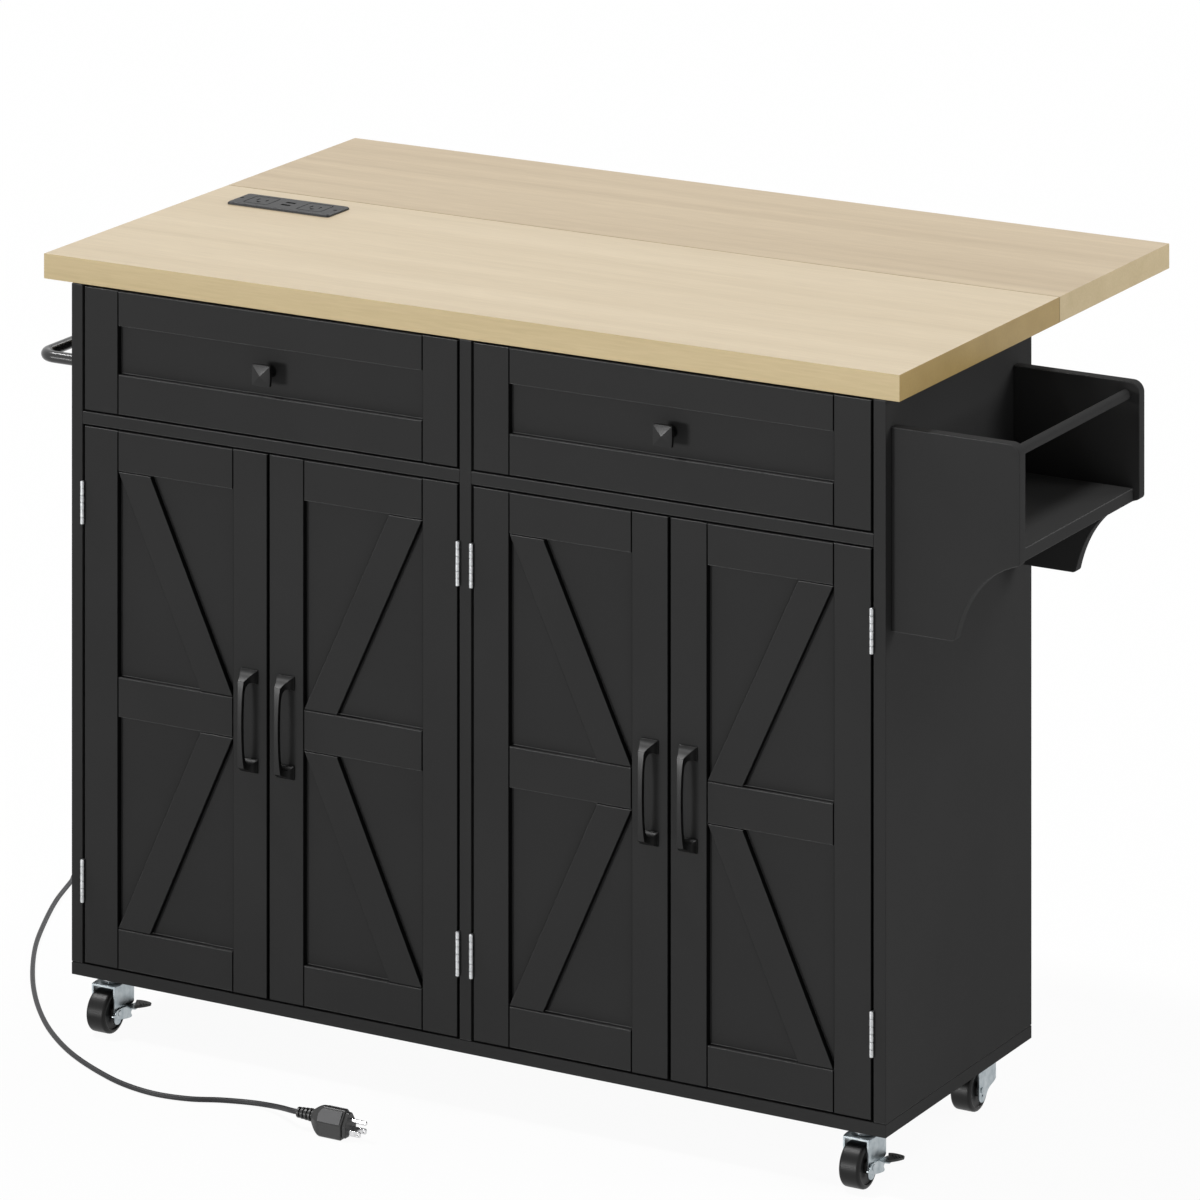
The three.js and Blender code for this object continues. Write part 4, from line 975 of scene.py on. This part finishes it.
# ---- power outlet -------------------------------------------------------------------------------
def make_outlet():
    """Flush plate with two mains sockets, two small sockets between them and a screw at each end."""
    length, width = 145, 51
    plate = loft(
        [
            [(x, y, z) for x, y in rounded_rectangle(length - 2 * inset, width - 2 * inset, 3, 5)]
            for inset, z in ((0, 0), (0, 1.2), (0.35, 2.1), (1.3, 2.85), (1.9, 3.0))
        ]
    )
    plate = fuse(plate, box((-62.5, 62.5), (-15.5, 8.5), (-42, 1)))
    wells, liners, faces = [], [], []
    for x in (-38, 38):
        frame_ring = rounded_rectangle(35, 35, 4, 4)
        inner_ring = rounded_rectangle(32.4, 32.4, 2.8, 4)
        groove = carve(prism(frame_ring, "z", 2.3, 4), prism(inner_ring, "z", 1, 5))
        wells.append(groove.at(x, 0))
        for side, slot_length in ((-1, 8.4), (1, 7.2)):
            slot = box((-1.0, 1.0), (-slot_length / 2, slot_length / 2), (-9, 5)).at(x + 6.3 * side, 2)
            wells.append(slot)
        ground = [*arc((0, 0), 2.6, 180, 360, 10), (2.6, 1.6), (-2.6, 1.6)]
        wells.append(prism(ground, "z", -9, 5).at(x, -7.6))
    for y in (-6, 6):
        wells.append(box((-6.5, 6.5), (-2.6, 2.6), (-9, 5)).at(0, y))
        liners.append(box((-5.6, 5.6), (-0.8, 0.8), (-8, 1.2)).at(0, y + 0.7))
    for x in (-66.5, 66.5):
        wells.append(lathe([(0, 1.8), (2.3, 1.8), (2.9, 5), (0, 5)], 20).at(x))
        head = lathe([(0, 1.4), (2.1, 1.4), (2.1, 2.2), (1.7, 2.6), (0, 2.7)], 20)
        cross = [box((-1.4, 1.4), (-0.25, 0.25), (2.2, 3)), box((-0.25, 0.25), (-1.4, 1.4), (2.2, 3))]
        faces.append(carve(head, *cross).at(x))
    body = carve(plate, *wells).at(*OUTLET)
    rides = ("cabinet", "outlet_plastic")
    piece("outlet", body, outlet_grey, *rides, ["power_outlet"], bevel=0.15, angle=50)
    piece("outlet_tongues", total(liners).at(*OUTLET), socket_black, *rides, bevel=0.2)
    piece("outlet_screws", total(faces).at(*OUTLET), black_metal, "cabinet", "hinge_steel")


make_outlet()

# ---- castors ------------------------------------------------------------------------------------
CASTOR_X = 499.6
# name, x and y of the swivel's axis, whether it has a brake
CASTORS = [
    (f"{place}_{name}", side * CASTOR_X, swivel, place == "front")
    for place, swivel in (("front", 28), ("rear", 302))
    for name, side in (("left", -1), ("right", 1))
]
# Heights in the forms of a fork, axle, wheel or brake are over the axle.
AXLE_Z = 25
TRAIL = 16  # from the axle back to the swivel's axis
FORK_TOP, FORK_HALF = 31, 17.5


def fork_form(braked):
    """Pressed fork about the axle, which runs along x: crown and two legs. One without a brake has a hole."""
    sheet = 2.3
    leg = [
        (-6, FORK_TOP),
        *arc((0, -8), 6, 180, 330, 12),
        (13.2, -3.6),
        *quadratic((13.2, -3.6), (16.0, -1.0), (26, 1.0), 4),
        *quadratic((26, 1.0), (37.6, 3.2), (39, 16), 7),
        (39, FORK_TOP),
    ]

    def both_sides(half_plan):
        return half_plan + [(-x, y) for x, y in reversed(half_plan)]

    plan = both_sides([(16.0, -6), (FORK_HALF, 3.5), (FORK_HALF, 33.5), (13.5, 39)])
    inner = both_sides([(13.8, -9), (13.8, -6), (15.2, 3.5), (15.2, 42)])
    shell = common(prism(leg, "x", -18, 18), prism(plan, "z", -15, FORK_TOP))
    shell = carve(shell, prism(inner, "z", -16, FORK_TOP - sheet))
    if not braked:
        shell = carve(shell, rod("x", 1.2, 10, 20, 12).at(0, 0.3, -6.2))
    return shell


def axle_form(braked):
    """Axle bolt with a domed head outside one leg and a flat end outside the other, past any brake plate."""
    reach = FORK_HALF + (2.1 if braked else 0.0)
    bolt = rod("x", 3, -FORK_HALF - 1.5, reach + 0.1, 20)
    head = lathe([(0, 0), (5.2, 0), (5.2, 0.8), (4.2, 2.2), (2.4, 3.0), (0, 3.2)], 24).turn("Y", -90)
    rivet = lathe([(0, 0), (3.2, 0), (3.1, 0.3), (2.4, 0.5), (0, 0.5)], 24).turn("Y", 90)
    return total([bolt, head.at(-FORK_HALF), rivet.at(reach)])


def kingpin_form():
    """The pin's head under the fork's crown, on the swivel's axis."""
    profile = [(0, 26), (5.2, 26), (6.4, 27), (6.4, 30), (0, 30)]
    return lathe(profile, 24).at(0, TRAIL)


def wheel_form():
    """Solid wheel with rounded shoulders, a raised rim ring on each side and a boss."""
    radius, half = 25, 13
    side = [
        (3.35, half + 0.8),
        (7.0, half + 0.8),
        (7.6, half + 0.3),
        (7.8, half - 1.8),
        (9.0, half - 2.3),
        (18.0, half - 2.3),
        (19.0, half - 1.9),
        (19.5, half - 0.6),
        (20.1, half - 0.1),
        (21.2, half),
        (21.9, half - 0.4),
        (22.6, half - 0.6),
        (23.6, half - 1.1),
        (24.4, half - 1.9),
        (24.9, half - 3.0),
        (radius, half - 4.4),
    ]
    profile = [*side, *[(r, -x) for r, x in reversed(side)]]
    return lathe(profile, 64, close=True).turn("Y", 90)


def brake_forms():
    """The lever's pressed plate beside the leg with its bent web, and the leaf-shaped tongue to step on."""
    inner = FORK_HALF + 0.4
    outline = [
        (-8.4, 2.6),
        (-8.6, -0.2),
        (-15.0, 0.6),
        (-15.2, -1.2),
        (-6.0, -5.0),
        (4.0, -8.6),
        *quadratic((4.0, -8.6), (14.0, -11.2), (23.1, -12.0), 4),
        *quadratic((23.1, -12.0), (27.0, -12.0), (26.1, -10.0), 4),
        (24.2, -6.6),
        *quadratic((24.2, -6.6), (24.6, -3.9), (30.0, -3.2), 4),
        (34.4, -2.0),
        (34.6, 0.4),
        (25.5, 2.6),
        (13.4, 3.6),
        (5.0, 4.8),
        (-6.0, 4.2),
    ]
    plate = carve(prism(outline, "x", inner, inner + 1.6), rod("x", 3.35, inner - 2, inner + 5, 20))
    bend = [(inner, 15), (inner + 9, 13), (31, 16), (30, 22), (21.5, 38.5), (inner, 36)]
    tongue = [
        (inner + 0.4, 36.5),
        *quadratic((inner + 0.4, 36.5), (21.4, 43.0), (30.0, 44.6), 6),
        *quadratic((30.0, 44.6), (37.6, 46.4), (36.0, 37.0), 6),
        *quadratic((36.0, 37.0), (34.6, 25.0), (30.0, 13.8), 6),
    ]
    ribs = []
    for index, y in enumerate((4, 7.5, 11, 14.5)):
        ribs.append(box((-5.5 + index, 6.0 - index), (y, y + 1.3), (2.8, 3.5)))

    heel_x, heel_y, heading = 24.75, 27, 48.2

    def tilted(form):
        return form.turn("X", -10).turn("Z", -heading).at(heel_x, heel_y, 2)

    def laid(points, low, high):
        return tilted(prism(points, "z", low, high).at(-heel_x, -heel_y).turn("Z", heading))

    plate = total([plate, laid(bend, -1.6, -0.1)])
    return plate, total([laid(tongue, 0, 3.0), *[tilted(rib) for rib in ribs]])


# These two are over the floor, because they ride on the cabinet.
DOME = [(0, 56.3), (14.2, 56.3), (16.2, 57.4), (17.15, 59.2), (17.3, 60.8), (17.3, 62.6), (0, 62.6)]
RIVET = [(0, 61.2), (1.4, 61.3), (2.6, 61.9), (2.8, 62.4), (0, 62.4)]
tops, domes = [], []
for name, x, swivel, braked in CASTORS:
    castor, wheel, brake = f"castor_{name}", f"wheel_{name}", f"brake_{name}"
    at = (x, swivel - TRAIL, AXLE_Z)
    fork, rounding = fork_form(braked).at(*at), {"bevel": 0.55, "segments": 3, "angle": 28}
    piece(f"{castor}_frame", fork, zinc, castor, "zinc", [f"{castor}_fork"], **rounding)
    small = total([axle_form(braked), kingpin_form()]).at(*at)
    piece(f"{castor}_axle", small, zinc, castor, "zinc", bevel=0.3, angle=40)
    tyre = wheel_form().at(*at)
    piece(f"{castor}_tyre", tyre, wheel_black, wheel, "wheel_plastic", [f"{castor}_wheel"], angle=40)
    if braked:
        plate, step = brake_forms()
        piece(f"{brake}_plate", plate.at(*at), zinc, brake, "zinc", [f"{castor}_brake"], bevel=0.35)
        piece(f"{brake}_tongue", step.at(*at), black_metal, brake, "black_metal", bevel=0.5)
    domes.append(lathe(DOME, 48).at(x, swivel))
    tops.append(prism(rounded_rectangle(38.4, 38.4, 4.2), "z", 62.3, 64.45).at(x, swivel))
    for dx in (-15.2, 15.2):
        for dy in (-15.2, 15.2):
            tops.append(lathe(RIVET, 16).at(x + dx, swivel + dy))
piece("castor_plates", total(tops), zinc, "cabinet", "zinc", bevel=0.2, angle=50)
piece("castor_races", total(domes), chrome, "cabinet", "zinc", bevel=0.3, angle=50)

# ---- small fasteners under the worktop ----------------------------------------------------------
HINGE_Y, HINGE_Z = 404, 877


def hinge_screws(direction):
    """A row of screws under one half of the leaf's hinge, whose axis lies at HINGE_Y and HINGE_Z."""
    head = lathe([(0, 0), (3.1, 0.05), (3.1, -0.3), (2.2, -0.7), (0, -0.8)], 18)
    count, pitch = 16, 62.5
    y, z = HINGE_Y + direction * 15, HINGE_Z + 1.7
    return total(head.at((k + 0.5 - count / 2) * pitch, y, z) for k in range(count))


piece("leaf_hinge_fixed_screws", hinge_screws(-1), hinge_steel, "cabinet", "hinge_steel")
piece("leaf_hinge_moving_screws", hinge_screws(1), hinge_steel, "leaf", "hinge_steel")

BRACE_X, BRACE_Y, BRACE_Z = 320, 368.3, HINGE_Z - 92.5
bolt = lathe([(0, 0), (3.6, 0), (3.4, 1.0), (2.2, 1.9), (0, 2.2)], 20).turn("X", -90)
bolts = []
for x in (-BRACE_X, BRACE_X):
    for dz in (-22, 22):
        for dx in (-12, 12):
            bolts.append(bolt.at(x + dx, BRACE_Y, BRACE_Z + dz))
piece("brace_screws", total(bolts), hinge_steel, "cabinet", "hinge_steel")

# ---- floor and light ----------------------------------------------------------------------------
WHITE = (1, 1, 1, 1)
FLOOR_REACH = 40  # metres
FLOOR_GLOW = 0.95
WORLD_LIGHT = 0.12


def backdrop(tree, output, lit, seen, share):
    """The lit shader for light on the object, and a share of the seen one for the camera and reflections."""

    def math_node(operation, first, second):
        node = tree.nodes.new("ShaderNodeMath")
        node.operation = operation
        tree.links.new(first, node.inputs[0])
        if isinstance(second, float):
            node.inputs[1].default_value = second
        else:
            tree.links.new(second, node.inputs[1])
        return node.outputs[0]

    path = tree.nodes.new("ShaderNodeLightPath")
    factor = path.outputs["Is Camera Ray"]
    for name in ("Is Glossy Ray", "Is Transmission Ray"):
        factor = math_node("MAXIMUM", factor, path.outputs[name])
    blend = tree.nodes.new("ShaderNodeMixShader")
    out = tree.nodes.new(output)
    tree.links.new(math_node("MULTIPLY", factor, share), blend.inputs[0])
    tree.links.new(lit.outputs[0], blend.inputs[1])
    tree.links.new(seen.outputs[0], blend.inputs[2])
    tree.links.new(blend.outputs[0], out.inputs[0])


mesh = bpy.data.meshes.new("floor")
corners = [(x * FLOOR_REACH, y * FLOOR_REACH, 0) for x, y in ((-1, -1), (1, -1), (1, 1), (-1, 1))]
mesh.from_pydata(corners, [], [(0, 1, 2, 3)])
floor = bpy.data.objects.new("floor", mesh)
floor.location.z = -0.0003
bpy.context.scene.collection.objects.link(floor)

floor_material = bpy.data.materials.new("floor")
floor_material.use_nodes = True
tree = floor_material.node_tree
tree.nodes.clear()
diffuse = tree.nodes.new("ShaderNodeBsdfDiffuse")
diffuse.inputs["Color"].default_value = (0.92, 0.92, 0.92, 1)
glow = tree.nodes.new("ShaderNodeEmission")
glow.inputs["Color"].default_value = WHITE
backdrop(tree, "ShaderNodeOutputMaterial", diffuse, glow, FLOOR_GLOW)
mesh.materials.append(floor_material)

world = bpy.data.worlds.new("studio")
bpy.context.scene.world = world
world.use_nodes = True
tree = world.node_tree
tree.nodes.clear()
light, seen = tree.nodes.new("ShaderNodeBackground"), tree.nodes.new("ShaderNodeBackground")
for node, strength in ((light, WORLD_LIGHT), (seen, 1.0)):
    node.inputs["Color"].default_value = WHITE
    node.inputs["Strength"].default_value = strength
backdrop(tree, "ShaderNodeOutputWorld", light, seen, 1.0)

# name, energy, angle, direction the light travels
for name, energy, angle, direction in (
    ("front", 2.72, 14, (0.37, 0.93, -0.01)),
    ("right", 1.42, 20, (-0.93, -0.3, -0.24)),
    ("above", 1.98, 8, (0.45, 0.05, -0.88)),
    ("rear", 1.1, 30, (-0.25, -0.75, -0.6)),
):
    lamp = bpy.data.lights.new(name, "SUN")
    lamp.energy = energy
    lamp.angle = math.radians(angle)
    thing = bpy.data.objects.new(name, lamp)
    thing.rotation_mode = "QUATERNION"
    thing.rotation_quaternion = Vector(direction).to_track_quat("-Z", "Y")
    thing.visible_glossy = name != "right"  # its sheen would clip the worktop to white from the left
    bpy.context.scene.collection.objects.link(thing)

bpy.context.scene.view_settings.view_transform = "Standard"

bpy.context.view_layer.update()
